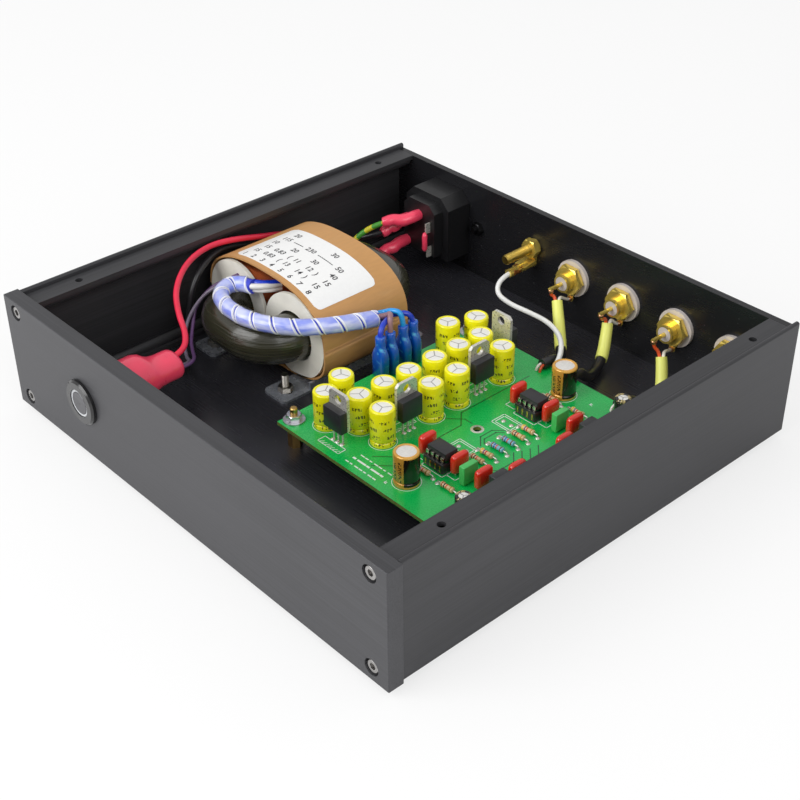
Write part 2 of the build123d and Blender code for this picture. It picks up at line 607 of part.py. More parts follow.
def inlet_body_section(width, height, corner):
    """The inlet's outline, with its two upper corners cut off."""
    x = width / 2
    z = height / 2
    corners = ((-x, -z), (x, -z), (x, z - corner), (x - corner, z), (corner - x, z), (-x, z - corner))
    return make_face(Polyline(*corners, close=True))


def rear_panel():
    edge = INNER_WALL + PANEL_GAP
    plate = block(edge, BODY_WIDTH - edge, REAR_INNER, BODY_DEPTH, BOTTOM_THICKNESS, LID_SEAT)
    opening = inlet_body_section(INLET_BODY_WIDTH + 4 * FIT, INLET_BODY_HEIGHT + 4 * FIT, INLET_CHAMFER)
    cutters = [along_y(Pos(INLET_X, INLET_Z) * opening, REAR_INNER, BODY_DEPTH)]
    cutters += [into_rear(x, z, flat_screw_hole(BODY_HEIGHT)) for x, z in PANEL_SCREWS]
    cutters += [rod_y(x, z, SCREW_RADIUS + FIT, REAR_INNER, BODY_DEPTH) for x, z in INLET_SCREWS]
    cutters += [rod_y(x, JACK_Z, JACK_SHOULDER_RADIUS + FIT, REAR_INNER, BODY_DEPTH) for x in JACK_XS]
    cutters.append(rod_y(POST_X, POST_Z, POST_RADIUS + FIT, REAR_INNER, BODY_DEPTH))
    return rest_of(plate, cutters)


def feet():
    """Low round rubber feet, dished underneath."""
    outline = ((0, -FOOT_HEIGHT / 2), (FOOT_RADIUS / 3, -FOOT_HEIGHT / 2), (FOOT_RADIUS / 2, -FOOT_HEIGHT),
               (FOOT_RADIUS - 2 * PANEL_EDGE, -FOOT_HEIGHT), (FOOT_RADIUS, PANEL_EDGE - FOOT_HEIGHT),
               (FOOT_RADIUS, 0), (0, 0))
    xs = (FOOT_INSET, BODY_WIDTH - FOOT_INSET)
    ys = (FOOT_INSET, BODY_DEPTH - FOOT_INSET)
    return [turned_z(outline, x, y, 0) for x in xs for y in ys]


# ---------------------------------------------------------------- power button
RING_BORE = RING_OUTER - RING_WIDTH
RING_FRONT = RING_RECESS - BEZEL_PROUD
RING_SEAT = RING_FRONT + RING_DEPTH
CAP_RADIUS = RING_BORE - FIT
CAP_BORE = CAP_RADIUS + CAP_FLANGE + FIT
CAP_FLOOR = RING_SEAT + 2 * FIT + CAP_FLANGE_DEPTH + BUTTON_TRAVEL + RING_RECESS


def button_housing():
    """Bezel, threaded barrel and switch block, bored from the front for the ring and the cap."""
    outline = ((0, CAP_FLOOR), (CAP_BORE, CAP_FLOOR), (CAP_BORE, RING_SEAT), (RING_OUTER, RING_SEAT),
               (RING_OUTER, -BEZEL_PROUD), (BEZEL_RADIUS - BEZEL_CHAMFER, -BEZEL_PROUD),
               (BEZEL_RADIUS, BEZEL_CHAMFER - BEZEL_PROUD), (BEZEL_RADIUS, 0), (BARREL_RADIUS, 0),
               (BARREL_RADIUS, BARREL_LENGTH), (SWITCH_RADIUS, BARREL_LENGTH),
               (SWITCH_RADIUS, BARREL_LENGTH + SWITCH_LENGTH), (0, BARREL_LENGTH + SWITCH_LENGTH))
    return turned_y(outline, BUTTON_X, 0, BUTTON_Z)


def button_ring():
    outline = ((RING_BORE, RING_FRONT + RING_RECESS), (RING_BORE + RING_WIDTH / 2, RING_FRONT),
               (RING_OUTER - FIT, RING_FRONT + RING_RECESS), (RING_OUTER - FIT, RING_SEAT),
               (RING_BORE, RING_SEAT))
    return turned_y(outline, BUTTON_X, 0, BUTTON_Z)


def button_cap():
    """The pushed cap: a shallow dished face and a flange that stops behind the ring."""
    front = RING_FRONT
    back = RING_SEAT + 2 * FIT
    flange = CAP_RADIUS + CAP_FLANGE
    outline = ((0, front + RING_RECESS), (CAP_RADIUS * 0.8, front + RING_RECESS / 2),
               (CAP_RADIUS - RING_RECESS, front), (CAP_RADIUS, front + RING_RECESS), (CAP_RADIUS, back),
               (flange, back), (flange, back + CAP_FLANGE_DEPTH), (0, back + CAP_FLANGE_DEPTH))
    return turned_y(outline, BUTTON_X, 0, BUTTON_Z)


def button_nut():
    return Pos(BUTTON_X, FRONT_THICKNESS, BUTTON_Z) * Rot(-90, 0, 0) * nut(
        BUTTON_NUT_FLATS, BUTTON_NUT_HEIGHT, BARREL_RADIUS)


# Sections of the boot: share of its length, half width and half height against its grip, and drop.
BOOT_STATIONS = ((0.0, 1.0, 1.0, 0.0), (0.5, 1.02, 1.02, 0.0), (0.6, 0.9, 0.74, 0.6), (0.74, 0.8, 0.62, 0.9),
                 (0.92, 0.8, 0.64, 0.9), (1.0, 0.68, 0.5, 0.9))


def boot_skin(inset, end):
    """The boot's outside, or the same form drawn in by the wall, from the barrel to the pinched end."""
    first = FRONT_THICKNESS + BUTTON_NUT_HEIGHT
    grip = BARREL_RADIUS + BOOT_WALL + 2 * FIT
    sections = []
    for share, wide, high, drop in BOOT_STATIONS:
        y = first + share * (BOOT_LENGTH - end)
        station = Plane((BUTTON_X, y, BUTTON_Z - drop), x_dir=(1, 0, 0), z_dir=(0, -1, 0))
        sections.append(station * Ellipse(grip * wide - inset + BOOT_OVAL, grip * high - inset))
    return loft(sections, ruled=True)


def button_boot():
    """A thin moulded boot, open at the barrel and closed round the wires."""
    ends = (LIVE_WIRE_ROUTE[1:3], NEUTRAL_WIRE_ROUTE[1:3], PURPLE_WIRE_ROUTE[-3:-1], GREY_WIRE_ROUTE[-3:-1])
    radii = (MAINS_WIRE_RADIUS, MAINS_WIRE_RADIUS, PRIMARY_WIRE_RADIUS, PRIMARY_WIRE_RADIUS)
    shell = boot_skin(0, 0) - boot_skin(BOOT_WALL, BOOT_WALL)
    for (a, b), radius in zip(ends, radii):
        line = Line(a, b)
        way = Plane(origin=line @ 0, z_dir=line % 0) * Circle(radius + FIT)
        shell = shell - sweep(way, path=line)
    return shell


# ---------------------------------------------------------------- mains inlet
SOCKET_FLOOR = INLET_FACE - SOCKET_DEPTH
DRAWER_BACK = INLET_FACE - DRAWER_DEPTH
FUSE_Y = DRAWER_BACK + FUSE_RADIUS + FIT


def inlet_contact(x, z, grow=0.0):
    """One blade with its solder terminal at the back."""
    wide = PIN_WIDTH / 2 + grow
    thick = PIN_THICKNESS / 2 + grow
    root = SOCKET_FLOOR - PIN_RECESS
    blade = block(x - thick, x + thick, root, INLET_FACE - PIN_RECESS, z - wide, z + wide)
    wide = TERMINAL_WIDTH / 2 + grow
    thick = TERMINAL_THICKNESS / 2 + grow
    tail = block(x - thick, x + thick, TERMINAL_END, root, z - wide, z + wide)
    return blade + tail


def fuse_contact(x, grow=0.0):
    """A flat spring behind one end of the fuse, with its solder terminal."""
    wide = TERMINAL_WIDTH / 2 + grow
    thick = TERMINAL_THICKNESS / 2 + grow
    front = DRAWER_BACK - 2 * FIT + grow
    return block(x - thick, x + thick, TERMINAL_END, front, DRAWER_Z - wide, DRAWER_Z + wide)


def inlet_contacts(grow=0.0):
    pins = [inlet_contact(INLET_X + x, SOCKET_Z + z, grow) for x, z in PINS]
    springs = [fuse_contact(INLET_X + side * FUSE_CONTACT_PITCH / 2, grow) for side in (-1, 1)]
    return pins + springs


def drawer_section(grow):
    return Pos(INLET_X, DRAWER_Z) * Rectangle(DRAWER_WIDTH + grow, DRAWER_HEIGHT + grow)


def inlet_housing():
    face = Rectangle(INLET_FACE_WIDTH, INLET_FACE_HEIGHT)
    face = fillet(face.vertices(), INLET_CHAMFER / 2) + SlotOverall(INLET_EAR_LENGTH, INLET_EAR_HEIGHT)
    shape = along_y(Pos(INLET_X, INLET_Z) * face, BODY_DEPTH, INLET_FACE)
    body = inlet_body_section(INLET_BODY_WIDTH, INLET_BODY_HEIGHT, INLET_CHAMFER)
    shape += along_y(Pos(INLET_X, INLET_Z) * body, INLET_BACK, BODY_DEPTH)
    step = inlet_body_section(INLET_STEP_WIDTH, INLET_STEP_HEIGHT, INLET_CHAMFER * 0.7)
    shape += along_y(Pos(INLET_X, INLET_Z) * step, INLET_END, INLET_BACK)
    socket = inlet_body_section(SOCKET_WIDTH, SOCKET_HEIGHT, SOCKET_CHAMFER)
    cutters = [along_y(Pos(INLET_X, SOCKET_Z) * socket, SOCKET_FLOOR, INLET_FACE),
               along_y(drawer_section(4 * FIT), DRAWER_BACK - 2 * FIT, INLET_FACE)]
    cutters += inlet_contacts(FIT)
    lift = Pos(0, INLET_FACE_THICKNESS, 0)
    cutters += [lift * into_rear(x, z, flat_screw_hole(BODY_HEIGHT)) for x, z in INLET_SCREWS]
    return rest_of(shape, cutters)


def fuse_drawer():
    """A tray with a pocket that is open at the back, and a face with a finger lip."""
    tray = along_y(drawer_section(0), DRAWER_BACK, INLET_FACE)
    face = Rectangle(DRAWER_WIDTH + 2 * DRAWER_LIP, DRAWER_HEIGHT + 2 * DRAWER_LIP)
    face = Pos(INLET_X, DRAWER_Z) * fillet(face.vertices(), DRAWER_LIP)
    tray += along_y(face, INLET_FACE + FIT, INLET_FACE + DRAWER_FACE)
    tray += along_y(drawer_section(0), INLET_FACE, INLET_FACE + DRAWER_FACE)
    lip = Pos(INLET_X, DRAWER_Z - DRAWER_HEIGHT / 2) * Rectangle(DRAWER_WIDTH / 3, DRAWER_LIP * 2)
    tray += along_y(lip, INLET_FACE + DRAWER_FACE, INLET_FACE + 2 * DRAWER_FACE)
    half = FUSE_LENGTH / 2 + FIT
    pocket = block(INLET_X - half, INLET_X + half, DRAWER_BACK, FUSE_Y, DRAWER_Z - FUSE_RADIUS - FIT,
                   DRAWER_Z + FUSE_RADIUS + FIT)
    cradle = Rot(0, 90, 0) * extrude(Circle(FUSE_RADIUS + FIT), 2 * half)
    return tray - pocket - Pos(INLET_X - half, FUSE_Y, DRAWER_Z) * cradle


def fuse():
    """A glass tube fuse lying across the drawer, its end caps a little wider than the glass."""
    half = FUSE_LENGTH / 2
    cap = FUSE_LENGTH / 4
    neck = FUSE_RADIUS * 0.92
    outline = ((0, -half), (FUSE_RADIUS, -half), (FUSE_RADIUS, cap - half), (neck, cap - half),
               (neck, half - cap), (FUSE_RADIUS, half - cap), (FUSE_RADIUS, half), (0, half))
    return Pos(INLET_X, FUSE_Y, DRAWER_Z) * Rot(0, 90, 0) * turned_z(outline, 0, 0, 0)


def terminal_sleeves():
    """Soft sleeves over three terminals and a short sleeved jumper between the two on the right."""
    ends = (("live", LIVE_TERMINAL, LIVE_SIDE_RUN[-1]), ("neutral", NEUTRAL_TERMINAL, NEUTRAL_SIDE_RUN[-1]),
            ("earth", EARTH_TERMINAL, EARTH_SIDE_RUN[0]))
    sleeves = []
    for name, (tip, corner), beyond in ends:
        route = [(tip[0], INLET_END - 2 * FIT, tip[2]), corner, beyond]
        sleeves.append(cord(f"{name} sleeve", route, SLEEVE_RADIUS, SLEEVE_BORE))
    right = INLET_X + FUSE_CONTACT_PITCH / 2
    low = DRAWER_Z + TERMINAL_WIDTH / 4
    high = SOCKET_Z + PINS[1][1] - TERMINAL_WIDTH / 4
    jumper = post(right, TERMINAL_END - MAINS_WIRE_RADIUS - FIT, low, high, MAINS_WIRE_RADIUS)
    return sleeves + [jumper]


# ---------------------------------------------------------------- phono jacks
def jack_body(x):
    """Gold shell: an outer barrel, a flange on the washer and a threaded shank through the panel."""
    tip = JACK_FLANGE_Y + JACK_FLANGE_THICKNESS + JACK_BARREL_LENGTH
    end = REAR_INNER - JACK_INNER_LENGTH
    flange = JACK_FLANGE_Y + JACK_FLANGE_THICKNESS
    outline = ((JACK_BORE_RADIUS, end), (JACK_THREAD_RADIUS, end), (JACK_THREAD_RADIUS, JACK_FLANGE_Y),
               (JACK_FLANGE_RADIUS, JACK_FLANGE_Y), (JACK_FLANGE_RADIUS, flange),
               (JACK_BARREL_RADIUS, flange), (JACK_BARREL_RADIUS, tip - PANEL_EDGE),
               (JACK_BARREL_RADIUS - PANEL_EDGE, tip),
               (JACK_BORE_RADIUS, tip))
    return turned_y(outline, x, 0, JACK_Z)


def jack_insulators(x):
    """The inner washer with its shoulder, the outer washer, and the core that holds the contact."""
    bore = JACK_THREAD_RADIUS + FIT
    inner = REAR_INNER - JACK_WASHER_THICKNESS
    washer = ((bore, inner), (JACK_WASHER_RADIUS, inner), (JACK_WASHER_RADIUS, REAR_INNER),
              (JACK_SHOULDER_RADIUS, REAR_INNER), (JACK_SHOULDER_RADIUS, BODY_DEPTH), (bore, BODY_DEPTH))
    outer = ((bore, BODY_DEPTH), (JACK_WASHER_RADIUS, BODY_DEPTH), (JACK_WASHER_RADIUS, JACK_FLANGE_Y),
             (bore, JACK_FLANGE_Y))
    tip = JACK_FLANGE_Y + JACK_FLANGE_THICKNESS + JACK_BARREL_LENGTH - PANEL_EDGE
    step = tip - JACK_CONTACT_DEPTH
    end = REAR_INNER - JACK_INNER_LENGTH
    core = ((JACK_PIN_RADIUS + FIT, end), (JACK_BORE_RADIUS - FIT, end), (JACK_BORE_RADIUS - FIT, tip),
            (JACK_CONTACT_RADIUS + FIT, tip), (JACK_CONTACT_RADIUS + FIT, step),
            (JACK_PIN_RADIUS + FIT, step))
    return [turned_y(outline, x, 0, JACK_Z) for outline in (washer, outer, core)]


def jack_centre_contact(x):
    """A tube that takes the plug's pin, with a solder pin behind it."""
    tip = JACK_FLANGE_Y + JACK_FLANGE_THICKNESS + JACK_BARREL_LENGTH - 2 * PANEL_EDGE
    back = tip + PANEL_EDGE - JACK_CONTACT_DEPTH + FIT
    end = REAR_INNER - JACK_INNER_LENGTH - JACK_PIN_REACH
    outline = ((0, end), (JACK_PIN_RADIUS, end), (JACK_PIN_RADIUS, back), (JACK_CONTACT_RADIUS, back),
               (JACK_CONTACT_RADIUS, tip), (JACK_CONTACT_BORE, tip),
               (JACK_CONTACT_BORE, back + JACK_PIN_RADIUS), (0, back + JACK_PIN_RADIUS))
    return turned_y(outline, x, 0, JACK_Z)


def jack_nut(x):
    return Pos(x, TAG_Y, JACK_Z) * Rot(90, 0, 0) * nut(JACK_NUT_FLATS, JACK_NUT_HEIGHT, JACK_THREAD_RADIUS)


def jack_solder_tag(x):
    """A ring under the nut, with a tail that hangs past it."""
    plate = Circle(TAG_RADIUS) + Pos(0, -TAG_DROP / 2) * Rectangle(TAG_WIDTH, TAG_DROP)
    plate += Pos(0, -TAG_DROP) * Circle(TAG_WIDTH / 2)
    plate -= Circle(JACK_THREAD_RADIUS + FIT)
    return along_y(Pos(x, JACK_Z) * plate, TAG_Y, TAG_Y + TAG_THICKNESS)


def midway(a, b):
    return tuple((p + q) / 2 for p, q in zip(a, b))


def lead_sleeve(number, route):
    """A yellow sleeve over the end of a cable, from where its core and screen part."""
    return cord(f"yellow sleeve {number}", [*route[:2], midway(*route[1:3])], YELLOW_SLEEVE_RADIUS)


def signal_cable(number, route):
    """The cable from the low end of its yellow sleeve to the board."""
    return cord(f"signal cable {number}", [midway(*route[1:3]), *route[2:]], CABLE_RADIUS)


def jack_leads(x, route):
    """The core lead to the pin and the screen lead to the tag, from the top of the sleeve."""
    top = Vector(*route[0])
    rise = (top - Vector(*route[1])).normalized()
    aside = rise.cross(Vector(0, 0, 1)).normalized() * (LEAD_RADIUS + 2 * FIT)
    pin_y = REAR_INNER - JACK_INNER_LENGTH - JACK_PIN_REACH + JACK_PIN_RADIUS
    pin_z = JACK_Z - JACK_PIN_RADIUS
    tag_z = JACK_Z - TAG_DROP
    first = top - aside
    core = [first, first + rise * LEAD_STRAIGHT, (x, pin_y, pin_z - LEAD_STRAIGHT), (x, pin_y, pin_z)]
    first = top + aside
    screen = [first, first + rise * LEAD_STRAIGHT, (x, TAG_Y - LEAD_STRAIGHT, tag_z), (x, TAG_Y, tag_z)]
    return cord("core lead", core, LEAD_RADIUS), cord("screen lead", screen, LEAD_RADIUS)


def board_leads(route):
    """The bared core and screen at the far end of a cable, bent down on the board."""
    x, y, z = route[-1]
    leads = []
    for side in (-1, 1):
        across = x + side * (BOARD_LEAD_RADIUS + 2 * FIT)
        out = y - LEAD_STRAIGHT
        path = [(across, y, z), (across, out, z), (across, out, BOARD_TOP)]
        leads.append(cord("board lead", path, BOARD_LEAD_RADIUS))
    return leads


# ---------------------------------------------------------------- ground post
THUMB_WASHER_Y = COLLAR_Y + FIT
THUMB_NUT_Y = THUMB_WASHER_Y + THUMB_WASHER_THICKNESS + FIT


def ground_post():
    """A threaded stud right through the panel, with a fixed collar outside."""
    start = REAR_INNER - POST_INNER_LENGTH
    end = BODY_DEPTH + POST_REACH
    outline = ((0, start), (POST_RADIUS - PANEL_EDGE, start), (POST_RADIUS, start + PANEL_EDGE),
               (POST_RADIUS, BODY_DEPTH), (POST_COLLAR_RADIUS, BODY_DEPTH), (POST_COLLAR_RADIUS, COLLAR_Y),
               (POST_RADIUS, COLLAR_Y), (POST_RADIUS, end - PANEL_EDGE), (POST_RADIUS - PANEL_EDGE, end),
               (0, end))
    return turned_y(outline, POST_X, 0, POST_Z)


def ground_post_nut():
    seat = REAR_INNER - LUG_THICKNESS
    return Pos(POST_X, seat, POST_Z) * Rot(90, 0, 0) * nut(POST_NUT_FLATS, POST_NUT_HEIGHT, POST_RADIUS)


def ground_washer():
    ring = Circle(THUMB_WASHER_RADIUS) - Circle(POST_RADIUS + FIT)
    return along_y(Pos(POST_X, POST_Z) * ring, THUMB_WASHER_Y, THUMB_WASHER_Y + THUMB_WASHER_THICKNESS)


def ground_thumb_nut():
    """A round nut with grooves all round for the fingers."""
    section = Circle(THUMB_NUT_RADIUS) - Circle(POST_RADIUS + FIT)
    section -= PolarLocations(THUMB_NUT_RADIUS, THUMB_NUT_GROOVES) * Circle(THUMB_GROOVE_RADIUS)
    return along_y(Pos(POST_X, POST_Z) * section, THUMB_NUT_Y, THUMB_NUT_Y + THUMB_NUT_HEIGHT)


def ring_lug_plate(thread):
    """The ring of a crimp lug in X and Z, its tail hanging down."""
    plate = Circle(LUG_RADIUS) + Pos(0, -LUG_DROP / 2) * Rectangle(LUG_WIDTH, LUG_DROP)
    return plate - Circle(thread + FIT)


def ring_lugs():
    """The lug on the ground post, bent so that its barrel points forward, and the mains earth lug."""
    back = REAR_INNER
    hang = along_y(Pos(POST_X, POST_Z) * ring_lug_plate(POST_RADIUS), back - LUG_THICKNESS, back)
    barrel = rod_y(POST_X, LUG_TAIL_Z, LUG_BARREL_RADIUS, LUG_FRONT, back)
    barrel -= rod_y(POST_X, LUG_TAIL_Z, GROUND_WIRE_RADIUS + FIT, LUG_FRONT, back - LUG_THICKNESS)
    x, y = BRACKET_BOLTS[1]
    seat = BRACKET_TOP
    plate = Circle(LUG_RADIUS) + Pos(-LUG_DROP / 2, 0) * Rectangle(LUG_DROP, LUG_WIDTH)
    flat = Pos(x, y, seat) * extrude(plate - Circle(SCREW_RADIUS + FIT), LUG_THICKNESS)
    return hang + barrel, flat


# ---------------------------------------------------------------- transformer
def wrap_section(inset):
    """Round below the two windings, and raised in the middle where the leads come out."""
    low = DISC_RADIUS + WRAP_CLEARANCE + WRAP_THICKNESS - inset
    high = WRAP_RISE + WRAP_THICKNESS - inset
    under = Rectangle(2 * (BOBBIN_OFFSET + low), low, align=(Align.CENTER, Align.MAX))
    over = Rectangle(2 * (BOBBIN_OFFSET + low), high, align=(Align.CENTER, Align.MIN))
    bottom = Rectangle(2 * BOBBIN_OFFSET, low, align=(Align.CENTER, Align.MAX))
    top = Rectangle(2 * BOBBIN_OFFSET, high, align=(Align.CENTER, Align.MIN))
    for side in (-1, 1):
        bottom += Pos(side * BOBBIN_OFFSET, 0) * Circle(low) & under
        top += Pos(side * BOBBIN_OFFSET, 0) * Ellipse(low, high) & over
    return bottom + top


def transformer_wrap():
    section = wrap_section(0) - wrap_section(WRAP_THICKNESS)
    return along_y(Pos(TRANSFORMER_X, BOBBIN_Z) * section, WRAP_FRONT, WRAP_REAR)


def transformer_core():
    """A round bar bent into a loop that runs through both bobbins."""
    loop = RectangleRounded(2 * BOBBIN_OFFSET, CORE_LENGTH - 2 * CORE_RADIUS, CORE_BEND).wire()
    section = Plane(origin=loop @ 0, z_dir=loop % 0) * Circle(CORE_RADIUS)
    return Pos(TRANSFORMER_X, TRANSFORMER_Y, BOBBIN_Z) * sweep(section, path=loop)


def transformer_bobbins():
    """Two moulded spools: a tube on the core and a disc at each end."""
    bore = CORE_RADIUS + CORE_CLEARANCE
    tube = bore + TUBE_WALL
    y0 = WRAP_FRONT
    y1 = WRAP_REAR
    outline = ((bore, y0), (DISC_RADIUS, y0), (DISC_RADIUS, y0 + DISC_THICKNESS),
               (tube, y0 + DISC_THICKNESS), (tube, y1 - DISC_THICKNESS), (DISC_RADIUS, y1 - DISC_THICKNESS),
               (DISC_RADIUS, y1), (bore, y1))
    return [turned_y(outline, x, 0, BOBBIN_Z) for x in BOBBIN_XS]


def transformer_windings():
    y0 = WRAP_FRONT
    y1 = WRAP_REAR
    ring = Circle(WINDING_RADIUS) - Circle(CORE_RADIUS + CORE_CLEARANCE + TUBE_WALL + FIT)
    return [along_y(Pos(x, BOBBIN_Z) * ring, y0 + DISC_THICKNESS, y1 - DISC_THICKNESS) for x in BOBBIN_XS]


def transformer_bracket(side):
    """A flat steel strip with a slot at each end and an edge turned up beside the wrap."""
    strip = fillet(Rectangle(BRACKET_WIDTH, BRACKET_LENGTH).vertices(), BRACKET_CORNER)
    for end in (-1, 1):
        strip -= Pos(0, end * BOLT_REACH) * SlotOverall(BOLT_SLOT, 2 * SCREW_RADIUS + 4 * FIT)
    x = TRANSFORMER_X + side * BRACKET_OFFSET
    plate = Pos(x, TRANSFORMER_Y, BOTTOM_THICKNESS) * extrude(strip, BRACKET_THICKNESS)
    outer = x + side * BRACKET_WIDTH / 2
    inner = outer - side * BRACKET_THICKNESS
    beside = BRACKET_OFFSET + BRACKET_WIDTH / 2 - BRACKET_THICKNESS - BOBBIN_OFFSET
    under = DISC_RADIUS + WRAP_CLEARANCE + WRAP_THICKNESS
    top = BOBBIN_Z - sqrt(under ** 2 - beside ** 2) - BRACKET_LIP_CLEARANCE
    lip = block(min(inner, outer), max(inner, outer), TRANSFORMER_Y - BRACKET_LIP_LENGTH / 2,
                TRANSFORMER_Y + BRACKET_LIP_LENGTH / 2, BOTTOM_THICKNESS, top)
    return plate + lip


def transformer_bolts():
    """Countersunk bolts up through the plate, each with a nut on the bracket."""
    bolts = [into_base(x, y, flat_screw(BOLT_HEIGHT)) for x, y in BRACKET_BOLTS]
    nuts = []
    for index, (x, y) in enumerate(BRACKET_BOLTS):
        seat = BRACKET_TOP + (LUG_THICKNESS if index == 1 else 0)
        nuts.append(Pos(x, y, seat) * nut(NUT_FLATS, NUT_HEIGHT, SCREW_RADIUS))
    return bolts + nuts


# ---------------------------------------------------------------- circuit board
def circuit_board():
    plate = on_board(0, 0, -BOARD_THICKNESS) * extrude(
        Rectangle(BOARD_WIDTH, BOARD_DEPTH, align=(Align.MIN, Align.MIN)), BOARD_THICKNESS)
    holes = BOARD_HOLES + [(BOARD_WIDTH / 2, BOARD_MIDDLE)]
    cutters = [post(BOARD_X + x, BOARD_Y + y, 0, BODY_HEIGHT, BOARD_HOLE_RADIUS) for x, y in holes]
    return rest_of(plate, cutters)


def board_standoff(x, y):
    """A hexagon pillar with a stud on top and a tapped hole below."""
    pillar = extrude(hexagon(STANDOFF_FLATS), STANDOFF_HEIGHT)
    stud = extrude(Circle(SCREW_RADIUS), STANDOFF_HEIGHT + BOARD_THICKNESS + STUD_HEIGHT)
    stud = chamfer(stud.faces().sort_by(Axis.Z)[-1].edges(), PANEL_EDGE)
    depth = BASE_SCREW_LENGTH - BOTTOM_THICKNESS + PANEL_EDGE
    hole = extrude(Circle(SCREW_RADIUS + FIT), depth)
    return Pos(BOARD_X + x, BOARD_Y + y, BOTTOM_THICKNESS) * (pillar + stud - hole)


def board_nuts(x, y):
    washer = extrude(Circle(BOARD_WASHER_RADIUS) - Circle(SCREW_RADIUS + FIT), BOARD_WASHER_THICKNESS)
    hexagon_nut = Pos(0, 0, BOARD_WASHER_THICKNESS) * nut(NUT_FLATS, NUT_HEIGHT, SCREW_RADIUS)
    return on_board(x, y) * washer, on_board(x, y) * hexagon_nut


def electrolytic(radius, height):
    """A can with a groove pinched above its base and a rounded shoulder."""
    waist = radius - CAP_GROOVE
    low = CAP_GROOVE_HEIGHT - CAP_GROOVE
    high = CAP_GROOVE_HEIGHT + CAP_GROOVE
    outline = ((0, 0), (radius, 0), (radius, low), (waist, CAP_GROOVE_HEIGHT), (radius, high),
               (radius, height - CAP_GROOVE), (radius - CAP_GROOVE, height), (0, height))
    return turned_z(outline, 0, 0, 0)


def filter_capacitors():
    can = electrolytic(FILTER_CAP_RADIUS, FILTER_CAP_HEIGHT)
    places = [(x, BOARD_MIDDLE + side * y) for x, y in FILTER_CAP_PAIRS for side in (-1, 1)]
    return [on_board(x, y) * can for x, y in places]


def signal_capacitors():
    tall = electrolytic(COUPLING_CAP_RADIUS, COUPLING_CAP_HEIGHT)
    small = electrolytic(SMALL_CAP_RADIUS, SMALL_CAP_HEIGHT)
    pairs = ((tall, COUPLING_CAPS), (small, SMALL_CAPS))
    return [on_board(*place) * can for can, places in pairs for place in places]


def regulator():
    """A plastic body on a metal tab with a hole, and three legs that stand on the board."""
    top = REGULATOR_LEG + REGULATOR_BODY_HEIGHT
    half = REGULATOR_WIDTH / 2
    body = block(-half, half, -REGULATOR_BODY_THICKNESS, 0, REGULATOR_LEG, top)
    body = chamfer(body.faces().sort_by(Axis.Y)[0].edges(), PANEL_EDGE)
    tab = block(-half, half, 0, REGULATOR_TAB_THICKNESS, REGULATOR_LEG, top + REGULATOR_TAB_HEIGHT)
    corners = tab.edges().filter_by(Axis.Y).group_by(Axis.Z)[-1]
    tab = chamfer(corners, REGULATOR_TAB_THICKNESS)
    tab -= rod_y(0, top + REGULATOR_TAB_HEIGHT / 2, REGULATOR_TAB_HOLE, 0, REGULATOR_TAB_THICKNESS)
    leg = block(-LEG_WIDTH / 2, LEG_WIDTH / 2, -LEG_THICKNESS, 0, 0, REGULATOR_LEG)
    return [body, tab, *[Pos(i * LEG_PITCH, 0, 0) * leg for i in (-1, 0, 1)]]


def regulators():
    return [on_board(x, y) * Rot(0, 0, turn) * piece for x, y, turn in REGULATORS for piece in regulator()]


def op_amp():
    """A chip in a socket: its legs come out at the sides and bend down into the two strips."""
    frame = Rectangle(SOCKET_STRIP_LENGTH, SOCKET_STRIP_WIDTH) - Rectangle(SOCKET_WINDOW, SOCKET_WINDOW)
    socket = extrude(frame, SOCKET_STRIP_HEIGHT)
    low = SOCKET_STRIP_HEIGHT + CHIP_LIFT
    chip = Pos(0, 0, low) * extrude(Rectangle(CHIP_LENGTH, CHIP_WIDTH), CHIP_HEIGHT)
    chip = chamfer(chip.faces().sort_by(Axis.Z)[-1].edges(), PANEL_EDGE)
    mark = Pos(-CHIP_LENGTH / 2, 0, low) * extrude(Circle(LEG_WIDTH), CHIP_HEIGHT)
    chip -= mark
    for column in range(4):
        x = (column - 1.5) * LEG_PITCH
        for side in (-1, 1):
            reach = CHIP_WIDTH / 2 + LEG_WIDTH
            ys = sorted((side * CHIP_WIDTH / 2, side * reach))
            bend = low + CHIP_HEIGHT / 2
            chip += block(x - LEG_WIDTH / 2, x + LEG_WIDTH / 2, *ys, SOCKET_STRIP_HEIGHT, bend)
    return [socket, chip]


def op_amps():
    return [on_board(*place) * piece for place in CHIPS for piece in op_amp()]


def film_capacitor(thickness, length, height, roundness):
    """A small block on two leads, its faces softened by its coating."""
    body = Pos(0, 0, FILM_LIFT) * extrude(Rectangle(thickness, length), height)
    body = fillet(body.edges(), roundness)
    leads = [post(0, side * length / 4, 0, FILM_LIFT + roundness, RESISTOR_LEAD) for side in (-1, 1)]
    return body + leads[0] + leads[1]


def film_capacitors():
    red = film_capacitor(FILM_THICKNESS, FILM_LENGTH, FILM_HEIGHT, FILM_THICKNESS * 0.4)
    green = film_capacitor(BOX_CAP_THICKNESS, BOX_CAP_LENGTH, BOX_CAP_HEIGHT, PANEL_EDGE)
    black = film_capacitor(BLACK_CAP_THICKNESS, BLACK_CAP_LENGTH, BLACK_CAP_HEIGHT, PANEL_EDGE)
    placed = [on_board(*place) * red for place in RED_CAPS]
    placed += [on_board(*place) * green for place in GREEN_CAPS]
    placed += [on_board(*place) * black for place in BLACK_CAPS]
    return placed


